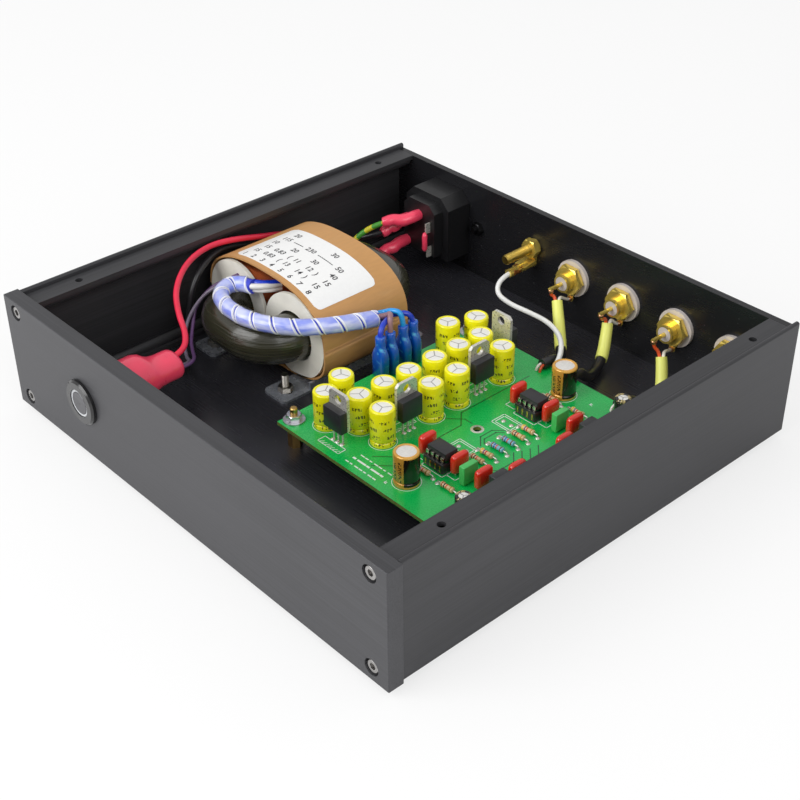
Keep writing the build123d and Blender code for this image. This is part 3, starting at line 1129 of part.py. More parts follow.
def resistor():
    """A bulged body on its leads, which bend down to the board."""
    half = RESISTOR_LENGTH / 2
    bulge = RESISTOR_LENGTH / 4
    outline = ((0, -half), (RESISTOR_RADIUS, -half), (RESISTOR_RADIUS, bulge - half),
               (RESISTOR_WAIST, bulge - half), (RESISTOR_WAIST, half - bulge),
               (RESISTOR_RADIUS, half - bulge), (RESISTOR_RADIUS, half), (0, half))
    height = RESISTOR_RADIUS + FIT
    shape = Pos(0, 0, height) * Rot(0, 90, 0) * turned_z(outline, 0, 0, 0)
    span = RESISTOR_SPAN / 2
    lead = RESISTOR_LEAD
    shape += block(-span, span, -lead, lead, height - lead, height + lead)
    for side in (-span, span):
        shape += block(side - lead, side + lead, -lead, lead, 0, height + lead)
    return shape


def resistors():
    shape = resistor()
    return [on_board(x, y) * Rot(0, 0, 90 if deep else 0) * shape for x, y, deep in RESISTORS]


def quick_connect():
    """A push-on connector in a clear sleeve, on the upright tab that it grips."""
    sleeve = Rectangle(CONNECTOR_WIDTH, CONNECTOR_DEPTH)
    sleeve = fillet(sleeve.vertices(), CONNECTOR_DEPTH * 0.4)
    slot = Rectangle(BOARD_TAB_WIDTH + 2 * FIT, BOARD_TAB_THICKNESS + 2 * FIT)
    body = Pos(0, 0, CONNECTOR_LIFT) * extrude(sleeve, CONNECTOR_HEIGHT)
    neck = extrude(Circle(CONNECTOR_NECK_RADIUS), CONNECTOR_NECK_HEIGHT)
    body += Pos(0, 0, CONNECTOR_LIFT + CONNECTOR_HEIGHT) * neck
    body -= extrude(slot, BOARD_TAB_HEIGHT + 2 * FIT)
    top = CONNECTOR_LIFT + CONNECTOR_HEIGHT + CONNECTOR_NECK_HEIGHT
    body -= post(0, 0, top - CONNECTOR_NECK_HEIGHT / 2, top, OUTPUT_LEAD_RADIUS + FIT)
    tab = extrude(Rectangle(BOARD_TAB_WIDTH, BOARD_TAB_THICKNESS), BOARD_TAB_HEIGHT)
    return [body, tab]


def quick_connects():
    return [on_board(*place) * piece for place in CONNECTORS for piece in quick_connect()]


# ---------------------------------------------------------------- transformer leads
CONNECTOR_TOP = BOARD_TOP + CONNECTOR_LIFT + CONNECTOR_HEIGHT + CONNECTOR_NECK_HEIGHT / 2
OUTPUT_STRAIGHT = 3.6
OUTPUT_RISE = 7.0
LEAD_SPREAD = 1.5
# Where the leads leave the ends of the bundle, to its side and upwards, in the order of the connectors.
OUTPUT_FAN = ((1, -1), (1, 1), (-1, 1), (-1, -1))
WINDING_FAN = ((-1, 1), (1, 1), (0, -1))


def bundle_end(points):
    """The last point of the bundle, and its directions onwards, to the side and up."""
    last = Vector(*points[-1])
    onward = (last - Vector(*points[-2])).normalized()
    aside = onward.cross(Vector(0, 0, 1)).normalized()
    return last, onward, aside, aside.cross(onward)


def secondary_leads():
    """Leads from between the windings into the bundle, and from its far end down to the connectors."""
    leads = []
    last, onward, aside, up = bundle_end(BUNDLE_ROUTE[1::-1])
    for across, rise in WINDING_FAN:
        begin = last + aside * (across * LEAD_SPREAD) + up * (rise * LEAD_SPREAD)
        out = begin + onward * OUTPUT_STRAIGHT
        inside = (out.X + 1.0, WRAP_FRONT + 4 * DISC_THICKNESS, out.Z - LEAD_SPREAD)
        leads.append(cord("winding lead", [begin, out, inside], OUTPUT_LEAD_RADIUS))
    last, onward, aside, up = bundle_end(BUNDLE_ROUTE)
    for (x, y), (across, rise) in zip(CONNECTORS, OUTPUT_FAN):
        begin = last + aside * (across * LEAD_SPREAD) + up * (rise * LEAD_SPREAD)
        out = begin + onward * OUTPUT_STRAIGHT
        end = Vector(BOARD_X + x, BOARD_Y + y, CONNECTOR_TOP)
        near = end + Vector(0, 0, OUTPUT_RISE + rise)
        over = Vector((out.X + near.X) / 2, out.Y + (near.Y - out.Y) * 0.2, near.Z)
        leads.append(cord("output lead", [begin, out, over, near, end], OUTPUT_LEAD_RADIUS))
    return leads


os.makedirs("parts", exist_ok=True)

save("front_panel", front_panel())
save("left_side_panel", left_side_panel())
save("right_side_panel", right_side_panel())
save("bottom_plate", bottom_plate())
save("rear_panel", rear_panel())
save("front_screws", *front_screws())
save("countersunk_screws", *countersunk_screws())
save("feet", *feet())

save("button_housing", button_housing())
save("button_ring", button_ring())
save("button_cap", button_cap())
save("button_nut", button_nut())
save("button_boot", button_boot())

save("inlet_housing", inlet_housing())
save("inlet_contacts", *inlet_contacts())
save("fuse_drawer", fuse_drawer())
save("fuse", fuse())
save("terminal_sleeves", *terminal_sleeves())

save("jack_bodies", *[jack_body(x) for x in JACK_XS])
save("jack_insulators", *[piece for x in JACK_XS for piece in jack_insulators(x)])
save("jack_centre_contacts", *[jack_centre_contact(x) for x in JACK_XS])
save("jack_nuts", *[jack_nut(x) for x in JACK_XS])
save("jack_solder_tags", *[jack_solder_tag(x) for x in JACK_XS])
save("lead_sleeves", *[lead_sleeve(number, route) for number, route in enumerate(CABLE_ROUTES, start=1)])
save("jack_leads", *[lead for x, route in zip(JACK_XS, CABLE_ROUTES) for lead in jack_leads(x, route)])
save("board_leads", *[lead for route in CABLE_ROUTES for lead in board_leads(route)])
for number, route in enumerate(CABLE_ROUTES, start=1):
    save(f"signal_cable_{number}", signal_cable(number, route))

save("ground_post", ground_post())
save("ground_post_nut", ground_post_nut())
save("ground_washer", ground_washer())
save("ground_thumb_nut", ground_thumb_nut())
save("ring_lugs", *ring_lugs())
save("ground_wire", cord("ground wire", GROUND_WIRE_ROUTE, GROUND_WIRE_RADIUS))

save("transformer_core", transformer_core())
save("transformer_bobbins", *transformer_bobbins())
save("transformer_windings", *transformer_windings())
save("transformer_wrap", transformer_wrap())
save("transformer_brackets", transformer_bracket(-1), transformer_bracket(1))
save("transformer_bolts", *transformer_bolts())

save("live_wire", cord("live wire", LIVE_WIRE_ROUTE, MAINS_WIRE_RADIUS))
save("neutral_wire", cord("neutral wire", NEUTRAL_WIRE_ROUTE, MAINS_WIRE_RADIUS))
save("earth_wire", cord("earth wire", EARTH_WIRE_ROUTE, MAINS_WIRE_RADIUS))
save("primary_wire_1", cord("primary wire 1", PURPLE_WIRE_ROUTE, PRIMARY_WIRE_RADIUS))
save("primary_wire_2", cord("primary wire 2", GREY_WIRE_ROUTE, PRIMARY_WIRE_RADIUS))
save("secondary_bundle", cord("secondary bundle", BUNDLE_ROUTE, BUNDLE_RADIUS))
save("secondary_leads", *secondary_leads())

save("circuit_board", circuit_board())
save("board_standoffs", *[board_standoff(x, y) for x, y in BOARD_HOLES])
save("board_nuts", *[piece for x, y in BOARD_HOLES for piece in board_nuts(x, y)])
save("filter_capacitors", *filter_capacitors())
save("signal_capacitors", *signal_capacitors())
save("regulators", *regulators())
save("op_amps", *op_amps())
save("film_capacitors", *film_capacitors())
save("resistors", *resistors())
save("quick_connects", *quick_connects())
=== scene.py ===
from itertools import accumulate
from math import cos, pi, radians, sin, tau

import bmesh
import bpy
from mathutils import Matrix, Vector


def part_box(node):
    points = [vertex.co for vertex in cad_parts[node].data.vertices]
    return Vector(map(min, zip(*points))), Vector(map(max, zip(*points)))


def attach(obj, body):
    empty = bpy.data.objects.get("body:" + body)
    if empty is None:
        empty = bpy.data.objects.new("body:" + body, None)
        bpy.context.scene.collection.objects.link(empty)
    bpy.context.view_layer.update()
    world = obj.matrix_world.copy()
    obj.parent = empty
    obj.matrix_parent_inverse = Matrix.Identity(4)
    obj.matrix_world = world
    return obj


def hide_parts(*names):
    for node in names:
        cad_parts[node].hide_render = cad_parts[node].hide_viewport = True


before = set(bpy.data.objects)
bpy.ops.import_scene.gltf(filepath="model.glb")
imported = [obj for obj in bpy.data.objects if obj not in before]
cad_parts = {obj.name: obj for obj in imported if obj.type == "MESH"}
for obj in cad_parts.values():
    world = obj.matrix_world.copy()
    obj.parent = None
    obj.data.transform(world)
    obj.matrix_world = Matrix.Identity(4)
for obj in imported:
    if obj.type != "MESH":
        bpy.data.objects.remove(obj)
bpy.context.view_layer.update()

bl_info = {
    "name": "Phono preamp finishes",
    "version": (1, 0, 0),
    "blender": (4, 5, 0),
    "location": "3D View > Sidebar > Preamp",
    "description": "Dresses the open phono preamp: wires, board parts, transformer and case",
    "category": "Object",
}

MM = 0.001
WELD = 5e-6
TOUCH = 0.33 * MM
UP = Vector((0.0, 0.0, 1.0))
# In millimetres: the pitch of legs, the radius of fine leads, and two measures of the cans.
LEG_PITCH = 2.54
FINE_LEAD = 0.3
FILTER_CAN_RADIUS = 5.0
CAN_MARKS_PITCH = 3.4
CONNECTOR_HIGH = 12.0 * MM

# ---------------------------------------------------------------- places taken from the frame
BOARD_LOW, BOARD_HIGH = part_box("circuit_board")
BOARD_TOP = BOARD_HIGH.z
WRAP_LOW, WRAP_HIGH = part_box("transformer_wrap")
WRAP_MIDDLE = (WRAP_LOW + WRAP_HIGH) / 2
WRAP_TOP = 23.2 * MM
WRAP_BOTTOM = 19.55 * MM
WRAP_THICKNESS = 0.8 * MM
WRAP_CENTRE_Z = WRAP_HIGH.z - WRAP_TOP
WRAP_STEPS = 120
# Rows of numbers on the label, each with its start in millimetres from the label's left edge.
LABEL_ROWS = (("20                    30", 7.0), ("115  -----  230  --------  50", 5.0),
              ("10         20         30        40", 4.0), ("15   0.83   (  11    12  )    15", 5.0),
              ("15   0.83   (  13    14  )    15", 4.0), ("1    2    3    4    5    6    7    8", 3.0))
BUTTON_AXIS = sum(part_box("button_nut"), Vector()) / 2
INLET_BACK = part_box("inlet_housing")[0].y

# ---------------------------------------------------------------- camera
CAMERA_PLACE = (0.3599992, -0.3276708, 0.3392127)
CAMERA_RIGHT = (0.67235, 0.740194, -0.007576)
CAMERA_UP = (-0.412696, 0.383327, 0.826282)
CAMERA_BACK = (0.614514, -0.552424, 0.563205)
CAMERA_LENS = 65.504
SENSOR_WIDTH = 36.0
# Each lamp's place, width and setting.
LAMPS = {
    "key_light": ((-0.35, -1.3, 0.95), 1.2, "key_power"),
    "fill_light": ((1.25, -0.3, 0.9), 1.0, "fill_power"),
}
LAMPS_AIM = Vector((0.0, 0.0, 0.02))

# ---------------------------------------------------------------- routes of the wires, in metres
ROUTES = {
    "live_wire": [
        (-0.0608, -0.0885, 0.0292), (-0.0608, -0.0765, 0.0292), (-0.061, -0.0641, 0.0304),
        (-0.0664, -0.0591, 0.034), (-0.0754, -0.0561, 0.0376), (-0.0865, -0.0495, 0.0424),
        (-0.0954, -0.0369, 0.0464), (-0.0984, -0.0231, 0.048), (-0.0974, -0.0099, 0.0466),
        (-0.1008, 0.0065, 0.0406), (-0.1048, 0.0225, 0.035), (-0.101, 0.0385, 0.027),
        (-0.093, 0.0505, 0.0196), (-0.0848, 0.0605, 0.0176), (-0.0839, 0.071, 0.0204),
        (-0.0839, 0.0744, 0.0204)],
    "neutral_wire": [
        (-0.0636, -0.0885, 0.026), (-0.0636, -0.0765, 0.026), (-0.0644, -0.0651, 0.0236),
        (-0.0674, -0.0609, 0.0184), (-0.0712, -0.0575, 0.0126), (-0.0786, -0.0535, 0.0086),
        (-0.088, -0.0485, 0.0086), (-0.0934, -0.0419, 0.015), (-0.0936, -0.0389, 0.0246),
        (-0.0938, -0.0369, 0.034), (-0.0956, -0.0305, 0.0406), (-0.1, -0.0185, 0.0432),
        (-0.1046, -0.0035, 0.0386), (-0.1066, 0.0145, 0.0306), (-0.1062, 0.0325, 0.024),
        (-0.1024, 0.0461, 0.0224), (-0.0936, 0.0555, 0.0246), (-0.0848, 0.0621, 0.0282),
        (-0.083, 0.071, 0.032), (-0.083, 0.0744, 0.032)],
    "earth_wire": [
        (-0.076, 0.0744, 0.036), (-0.076, 0.071, 0.036), (-0.0834, 0.0611, 0.0348),
        (-0.089, 0.0525, 0.03), (-0.092, 0.0455, 0.022), (-0.0925, 0.04, 0.014),
        (-0.0944, 0.0359, 0.0086)],
    "primary_wire_1": [
        (-0.0818, -0.021, 0.0398), (-0.0818, -0.0249, 0.0398), (-0.086, -0.0321, 0.0366),
        (-0.0901, -0.0381, 0.0284), (-0.087, -0.0421, 0.0226), (-0.0796, -0.0489, 0.0194),
        (-0.07, -0.0545, 0.0214), (-0.0618, -0.0591, 0.024), (-0.0588, -0.0647, 0.0246),
        (-0.0584, -0.0765, 0.026), (-0.0584, -0.0885, 0.026)],
    "primary_wire_2": [
        (-0.0792, -0.021, 0.039), (-0.0792, -0.0251, 0.039), (-0.0844, -0.0351, 0.0372),
        (-0.0892, -0.0427, 0.0254), (-0.0866, -0.0479, 0.0164), (-0.0778, -0.0529, 0.0142),
        (-0.0706, -0.0561, 0.018), (-0.0646, -0.0603, 0.0216), (-0.0616, -0.0649, 0.0236),
        (-0.061, -0.0765, 0.0252), (-0.061, -0.0885, 0.0252)],
    "secondary_bundle": [
        (-0.0662, -0.0245, 0.042), (-0.0724, -0.0253, 0.0412), (-0.0762, -0.0291, 0.0408),
        (-0.0756, -0.0343, 0.0402), (-0.0706, -0.0383, 0.04), (-0.063, -0.0407, 0.04),
        (-0.052, -0.0409, 0.04), (-0.04, -0.0365, 0.04), (-0.0298, -0.0289, 0.0402),
        (-0.0234, -0.0189, 0.04), (-0.0208, -0.0089, 0.0388), (-0.0188, 0.0005, 0.0374)],
    "ground_wire": [
        (-0.0215, 0.0848, 0.0265), (-0.0215, 0.0749, 0.0265), (-0.0204, 0.0709, 0.0208),
        (-0.011, 0.0699, 0.0196), (0.0006, 0.0697, 0.0206), (0.0136, 0.0679, 0.0222),
        (0.025, 0.0629, 0.0224), (0.0332, 0.0545, 0.022), (0.0384, 0.0449, 0.0216),
        (0.0384, 0.0449, 0.0171)],
    "signal_cable_1": [
        (0.018, 0.0715, 0.0095), (0.0216, 0.0679, 0.0082), (0.0266, 0.0601, 0.0104),
        (0.0296, 0.0559, 0.0154), (0.0312, 0.0521, 0.0194), (0.0312, 0.0453, 0.0194)],
    "signal_cable_2": [
        (0.0354, 0.0773, 0.0097), (0.0374, 0.0731, 0.0082), (0.0406, 0.0635, 0.0094),
        (0.0434, 0.0569, 0.0148), (0.045, 0.0521, 0.0194), (0.045, 0.0453, 0.0194)],
    "signal_cable_3": [
        (0.0695, 0.0744, 0.0099), (0.0714, 0.0709, 0.0082), (0.0724, 0.0625, 0.0094),
        (0.0716, 0.0569, 0.0148), (0.0708, 0.0521, 0.0194), (0.0708, 0.0453, 0.0194)],
    "signal_cable_4": [
        (0.094, 0.0742, 0.0099), (0.0944, 0.0705, 0.0082), (0.093, 0.0625, 0.0094),
        (0.09, 0.0569, 0.0148), (0.0874, 0.0521, 0.0194), (0.0874, 0.0453, 0.0194)],
}
SLEEVE_ROUTES = [
    [(0.0054, 0.0819, 0.0234), (0.0144, 0.0751, 0.0108), (0.018, 0.0715, 0.0095)],
    [(0.03, 0.0865, 0.0214), (0.0334, 0.0815, 0.0112), (0.0354, 0.0773, 0.0097)],
    [(0.0624, 0.0821, 0.0216), (0.0676, 0.0779, 0.0116), (0.0695, 0.0744, 0.0099)],
    [(0.0898, 0.0821, 0.0216), (0.0936, 0.0779, 0.0116), (0.094, 0.0742, 0.0099)],
]
# Name, radius, real length, stiffness, and the record's slot.
CORDS = (
    ("live_wire", 1.25 * MM, 0.195, "stiff", "red_vinyl"),
    ("neutral_wire", 1.25 * MM, 0.2157, "stiff", "neutral_black"),
    ("earth_wire", 1.25 * MM, 0.0545, "stiff", "earth_green"),
    ("primary_wire_1", 0.75 * MM, 0.092, "medium", "purple_wire"),
    ("primary_wire_2", 0.75 * MM, 0.0959, "medium", "grey_wire"),
    ("ground_wire", 1.1 * MM, 0.0885, "medium", "white_wire"),
    ("signal_cable_1", 2.2 * MM, 0.0339, "medium", "black_cable"),
    ("signal_cable_2", 2.2 * MM, 0.0371, "medium", "black_cable"),
    ("signal_cable_3", 2.2 * MM, 0.0335, "medium", "black_cable"),
    ("signal_cable_4", 2.2 * MM, 0.0339, "medium", "black_cable"),
)
BUNDLE_RADIUS = 3.5 * MM
SPIRAL_PITCH = 8.6 * MM
SPIRAL_BAND = 7.9 * MM
SPIRAL_STEPS = 36
CORE_SHARE = 0.84


def srgb(*levels):
    """A colour written from 0 to 255, as the linear values that shaders take."""
    shares = [level / 255 for level in levels]
    return (*[v / 12.92 if v <= 0.04045 else ((v + 0.055) / 1.055) ** 2.4 for v in shares], 1.0)


WHITE = (1.0, 1.0, 1.0, 1.0)


# ---------------------------------------------------------------- settings
def colour(name, description, default):
    return bpy.props.FloatVectorProperty(name=name, description=description, subtype="COLOR", size=4,
                                         min=0.0, max=1.0, default=default)


class PreampColours(bpy.types.PropertyGroup):
    """Colours of the preamp's finishes."""
    anodised: colour("Anodised panels", "Colour of the brushed black panels", srgb(72, 72, 75))
    kraft: colour("Winding wrap", "Brown board round the windings", srgb(201, 150, 92))
    core: colour("Core", "Dark lacquer on the core", srgb(50, 49, 36))
    bobbin: colour("Bobbins", "Moulded discs of the bobbins", srgb(246, 242, 230))
    red_insulation: colour("Red insulation", "Mains wire and its sleeves", srgb(232, 40, 74))
    boot: colour("Button boot", "Soft boot behind the button", srgb(255, 70, 102))
    mask: colour("Board", "Solder mask of the board", srgb(14, 192, 86))
    yellow_sleeve: colour("Capacitor sleeve", "Sleeves of the filter capacitors", srgb(246, 238, 20))
    tube: colour("Yellow tube", "Tubes over the ends of the signal cables", srgb(246, 230, 52))
    connector: colour("Connectors", "Sleeves of the push-on connectors", srgb(2, 84, 192))
    gold: colour("Gold", "Plating of the jacks and the earth post", (1.0, 0.71, 0.16, 1.0))


class PreampStage(bpy.types.PropertyGroup):
    """Light and floor round the preamp."""
    key_power: bpy.props.FloatProperty(name="Key light", description="Power of the large soft light",
                                       default=17.0, min=0.0, unit="POWER")
    fill_power: bpy.props.FloatProperty(name="Fill light", description="Power of the light at the right",
                                        default=6.0, min=0.0, unit="POWER")
    surround: bpy.props.FloatProperty(name="Surround", description="Strength of the even light all round",
                                      default=0.62, min=0.0, subtype="FACTOR")
    floor_size: bpy.props.FloatProperty(name="Floor", description="Width of the floor", default=8.0,
                                        unit="LENGTH")


def tone(name):
    """A colour from the settings."""
    return tuple(getattr(bpy.context.scene.preamp_colours, name))


# ---------------------------------------------------------------- materials
def maths(operation):
    """A method that adds one Math node."""
    return lambda self, *others: self.math(operation, *others)


class Value:
    """A socket in a node tree. Arithmetic on it adds Math nodes."""

    def __init__(self, nodes, socket):
        self.nodes = nodes
        self.socket = socket

    def math(self, operation, *others, clamp=False):
        sockets = dict(enumerate((self, *others)))
        return self.nodes.node("ShaderNodeMath", {"operation": operation, "use_clamp": clamp}, sockets)

    __add__ = __radd__ = maths("ADD")
    __sub__ = maths("SUBTRACT")
    __mul__ = __rmul__ = maths("MULTIPLY")
    __truediv__ = maths("DIVIDE")
    __lt__ = maths("LESS_THAN")
    __gt__ = maths("GREATER_THAN")
    __abs__ = maths("ABSOLUTE")
    floor = maths("FLOOR")
    wrapped = maths("FLOORED_MODULO")
    larger = maths("MAXIMUM")

    def __rsub__(self, other):
        return self.nodes.node("ShaderNodeMath", {"operation": "SUBTRACT"}, {0: other, 1: self})

    def between(self, low, high):
        return (self > low) * (self < high)


class Nodes:
    """The node tree of a material or of the world."""

    def __init__(self, owner):
        owner.use_nodes = True
        self.tree = owner.node_tree

    def node(self, kind, settings, sockets, output=0):
        made = self.tree.nodes.new(kind)
        for name, value in settings.items():
            setattr(made, name, value)
        for key, value in sockets.items():
            self.feed(made.inputs[key], value)
        return Value(self, made.outputs[output])

    def feed(self, socket, value):
        if isinstance(value, Value):
            self.tree.links.new(value.socket, socket)
        else:
            socket.default_value = value


class Finish(Nodes):
    """A material built round one Principled shader, with places read from the object."""

    def __init__(self, name):
        super().__init__(bpy.data.materials.new(name))
        self.shader = self.tree.nodes["Principled BSDF"]
        self.output = self.tree.nodes["Material Output"]

    def place(self):
        return self.node("ShaderNodeTexCoord", {}, {}, "Object")

    def axes(self):
        """X, Y and Z of the place on the object."""
        split = self.node("ShaderNodeSeparateXYZ", {}, {0: self.place()})
        return [Value(self, output) for output in split.socket.node.outputs]

    def vector(self, x, y, z):
        return self.node("ShaderNodeCombineXYZ", {}, {0: x, 1: y, 2: z})

    def stretched(self, x, y, z):
        return self.node("ShaderNodeVectorMath", {"operation": "MULTIPLY"}, {0: self.place(), 1: (x, y, z)})

    def noise(self, scale, detail=2.0, vector=None):
        sockets = {"Vector": vector or self.place(), "Scale": scale, "Detail": detail}
        return self.node("ShaderNodeTexNoise", {}, sockets)

    def cells(self, vector):
        """A steady random level from 0 to 1 for each whole-number place."""
        return self.node("ShaderNodeTexWhiteNoise", {"noise_dimensions": "3D"}, {"Vector": vector})

    def mixed(self, factor, a, b):
        settings = {"data_type": "RGBA", "clamp_factor": True}
        return self.node("ShaderNodeMix", settings, {"Factor": factor, 6: a, 7: b}, 2)

    def bump(self, height, strength, distance):
        return self.node("ShaderNodeBump", {}, {"Height": height, "Strength": strength, "Distance": distance})

    def paint(self, **sockets):
        """Values or links of the shader's own sockets, such as base_color or coat_weight."""
        for name, value in sockets.items():
            self.feed(self.shader.inputs[name.replace("_", " ").title()], value)


def finish(name, recipe, *settings):
    """The material of that name, made by its recipe the first time."""
    if name not in bpy.data.materials:
        recipe(Finish(name), *settings)
    return bpy.data.materials[name]


def tinted(shade, factor):
    return (*[min(1.0, level * factor) for level in shade[:3]], 1.0)


def brushed(f, shade, along, roughness=0.42):
    """Anodised aluminium with fine lines along one axis and faint cloudy patches."""
    fine = [9.0 if axis == along else 1500.0 for axis in "XYZ"]
    broad = [3.0 if axis == along else 260.0 for axis in "XYZ"]
    lines = f.noise(1.0, 3.0, f.stretched(*fine))
    bands = f.noise(1.0, 2.0, f.stretched(*broad))
    cloud = f.noise(26.0, 3.0)
    level = lines * 0.6 + bands * 0.2 + cloud * 0.2
    spread = (level - 0.3) * 2.5
    f.paint(base_color=f.mixed(spread, tinted(shade, 0.72), tinted(shade, 1.26)), metallic=0.35,
            roughness=level * 0.3 + (roughness - 0.15), normal=f.bump(lines, 0.12, 0.0002))


def smooth_black(f, shade):
    """Smooth anodised plate, a little blurred, with a few specks of dust."""
    cloud = f.noise(40.0, 3.0)
    lines = f.noise(1.0, 2.0, f.stretched(12.0, 900.0, 900.0))
    specks = (f.noise(900.0, 0.0) > 0.8) * 0.3
    f.paint(base_color=f.mixed(specks, tinted(shade, 1.0), srgb(120, 120, 122)), metallic=0.25,
            roughness=cloud * 0.12 + lines * 0.08 + 0.17)


def metal(f, shade, roughness=0.25, grain=700.0, metallic=1.0):
    """Plated or turned metal with faint marks."""
    marks = f.noise(grain, 3.0)
    f.paint(base_color=f.mixed(marks, tinted(shade, 0.8), tinted(shade, 1.12)), metallic=metallic,
            roughness=marks * 0.18 + roughness - 0.06, normal=f.bump(marks, 0.06, 0.0001))


def threaded(f, shade, axis, pitch, roughness=0.22):
    """Metal with thread lines round one axis, painted darker in each groove as painted shade."""
    along = f.axes()["XYZ".index(axis)]
    groove = abs(along.wrapped(pitch) / pitch - 0.5)
    marks = f.noise(500.0, 2.0)
    # The base colour darkens towards the middle of each groove: painted shade.
    f.paint(base_color=f.mixed(groove * 2, tinted(shade, 0.55), shade), metallic=1.0,
            roughness=marks * 0.15 + roughness, normal=f.bump(groove, 0.9, pitch))


def plastic(f, shade, roughness=0.4, coat=0.0):
    """Moulded plastic, vinyl or rubber with a fine grain and slight unevenness."""
    cloud = f.noise(160.0, 2.0)
    grain = f.noise(2600.0, 2.0)
    f.paint(base_color=f.mixed(cloud, tinted(shade, 0.86), tinted(shade, 1.1)), coat_weight=coat,
            coat_roughness=0.12, roughness=grain * 0.1 + cloud * 0.12 + roughness - 0.11,
            normal=f.bump(grain, 0.08, 0.0001))


def striped_vinyl(f, shade, stripe):
    """Insulation with a second colour running along it."""
    x, _, z = f.axes()
    band = (x * 900.0 + z * 700.0).math("SINE") > 0.15
    cloud = f.noise(200.0, 2.0)
    f.paint(base_color=f.mixed(band, shade, stripe), roughness=cloud * 0.1 + 0.33)


def board_paper(f, shade):
    """Brown pressed paper with long fibres and slight scuffs."""
    fibres = f.noise(1.0, 4.0, f.stretched(900.0, 160.0, 900.0))
    cloud = f.noise(60.0, 3.0)
    scuffs = (f.noise(1.0, 3.0, f.stretched(160.0, 40.0, 160.0)) - 0.58) * 4.0
    base = f.mixed(fibres * 0.6 + cloud * 0.4, tinted(shade, 0.78), tinted(shade, 1.14))
    f.paint(base_color=f.mixed(scuffs.math("MULTIPLY", 0.3, clamp=True), base, srgb(222, 186, 138)),
            roughness=fibres * 0.2 + 0.42, normal=f.bump(fibres, 0.12, 0.0003))


def printed_label(f):
    """White gloss paper with a faint grain."""
    grain = f.noise(800.0, 2.0)
    f.paint(base_color=f.mixed(grain, srgb(242, 242, 241), srgb(250, 250, 249)),
            roughness=grain * 0.1 + 0.3, coat_weight=0.25)


def lacquered_core(f, shade):
    """Wound strip under dark lacquer: fine ridges along the loop, and a gloss."""
    x, y, z = f.axes()
    ridges = f.noise(1.0, 3.0, f.vector(x * 30.0, y * 30.0, z * 900.0))
    cloud = f.noise(70.0, 3.0)
    f.paint(base_color=f.mixed(cloud * 0.5 + ridges * 0.5, tinted(shade, 0.6), tinted(shade, 1.5)),
            roughness=ridges * 0.25 + 0.12, coat_weight=0.6, coat_roughness=0.12,
            normal=f.bump(ridges, 0.8, 0.0008))


def enamelled_wire(f):
    """Turns of copper wire laid side by side, each painted bright in its middle and dark at its edges: a
    painted highlight and painted shade.
    """
    along = f.axes()[1]
    turns = abs(along.wrapped(0.6 * MM) / (0.6 * MM) - 0.5) * 2.0
    # Across each turn the colour runs from bright copper to dark brown: painted highlight and painted shade.
    f.paint(base_color=f.mixed(turns, srgb(196, 98, 48), srgb(92, 36, 18)), metallic=0.8,
            roughness=turns * 0.2 + 0.3, normal=f.bump(turns, 0.8, 0.0003))


def solder_mask(f, shade):
    """Green lacquer over copper: pours and gaps show as slightly lighter and darker fields."""
    x, y, z = f.axes()
    pour = f.cells(f.vector((x / (7.0 * MM)).floor(), (y / (9.0 * MM)).floor(), 0.0))
    cloud = f.noise(90.0, 2.0)
    weave = f.noise(1400.0, 1.0)
    base = f.mixed(cloud * 0.35 + pour * 0.25, tinted(shade, 0.82), tinted(shade, 1.12))
    edge = (z < BOARD_TOP - 0.1 * MM) * (z > BOARD_LOW.z + 0.1 * MM)
    f.paint(base_color=f.mixed(edge, base, srgb(120, 132, 62)), roughness=weave * 0.08 + cloud * 0.06 + 0.2,
            coat_weight=0.35, normal=f.bump(weave, 0.04, 0.0001))


def can_sleeve(f, shade, ink, radius, rows):
    """A shrunk sleeve with rows of small marks printed in blocks round it."""
    x, y, z = f.axes()
    around = y.math("ARCTAN2", x) * radius
    height = z / MM
    row = (height / rows).floor()
    across = (around / 0.5).floor()
    stroke = f.cells(f.vector(across, (height / 0.5).floor(), 2.0)) > 0.36
    block = (around / 3.3 + row * 0.4).wrapped(1.9) < 1.15
    glyph = around.wrapped(1.15) < 0.85
    band = height.wrapped(rows).between(0.7, 2.1)
    marks = stroke * block * glyph * band * height.between(1.0, 14.0)
    cloud = f.noise(300.0, 2.0)
    f.paint(base_color=f.mixed(marks * 0.9, f.mixed(cloud, tinted(shade, 0.9), tinted(shade, 1.05)), ink),
            roughness=cloud * 0.12 + 0.2, coat_weight=0.4)


def gold_and_black_sleeve(f, radius):
    """A black sleeve with a gold panel of fine marks and gold edges."""
    x, y, z = f.axes()
    around = y.math("ARCTAN2", x) * radius
    height = z / MM
    stroke = f.cells(f.vector((height / 0.45).floor(), (around / 0.4).floor(), 4.0)) > 0.45
    lines = around.wrapped(2.3) < 1.5
    marks = stroke * lines * height.between(2.6, 11.6)
    panel = around.between(-12.6, -2.2)
    rim = (height < 1.0).larger(height > 13.2)
    dark = srgb(24, 17, 12)
    face = f.mixed(marks * 0.9, srgb(214, 158, 62), dark)
    cloud = f.noise(300.0, 2.0)
    f.paint(base_color=f.mixed(panel.larger(rim), dark, face), roughness=cloud * 0.1 + 0.18,
            metallic=panel * 0.3, coat_weight=0.5)


def scored_top(f, radius):
    """Bright aluminium with three pressed lines that meet in the middle, painted darker along the lines as
    painted shade in the grooves.
    """
    x, y, _ = f.axes()
    score = None
    for turn in (radians(90), radians(210), radians(330)):
        along = x * cos(turn) + y * sin(turn)
        across = abs(x * -sin(turn) + y * cos(turn))
        line = (along > 0) * (across < 0.22 * MM) * (along < radius * MM * 0.72)
        score = line if score is None else score.larger(line)
    spin = f.noise(1500.0, 2.0)
    # The pressed lines take a darker grey: painted shade in the grooves.
    f.paint(base_color=f.mixed(score, srgb(242, 241, 236), srgb(176, 174, 170)), metallic=0.2,
            roughness=spin * 0.15 + 0.3, normal=f.bump(1.0 - score, 0.6, 0.0003))


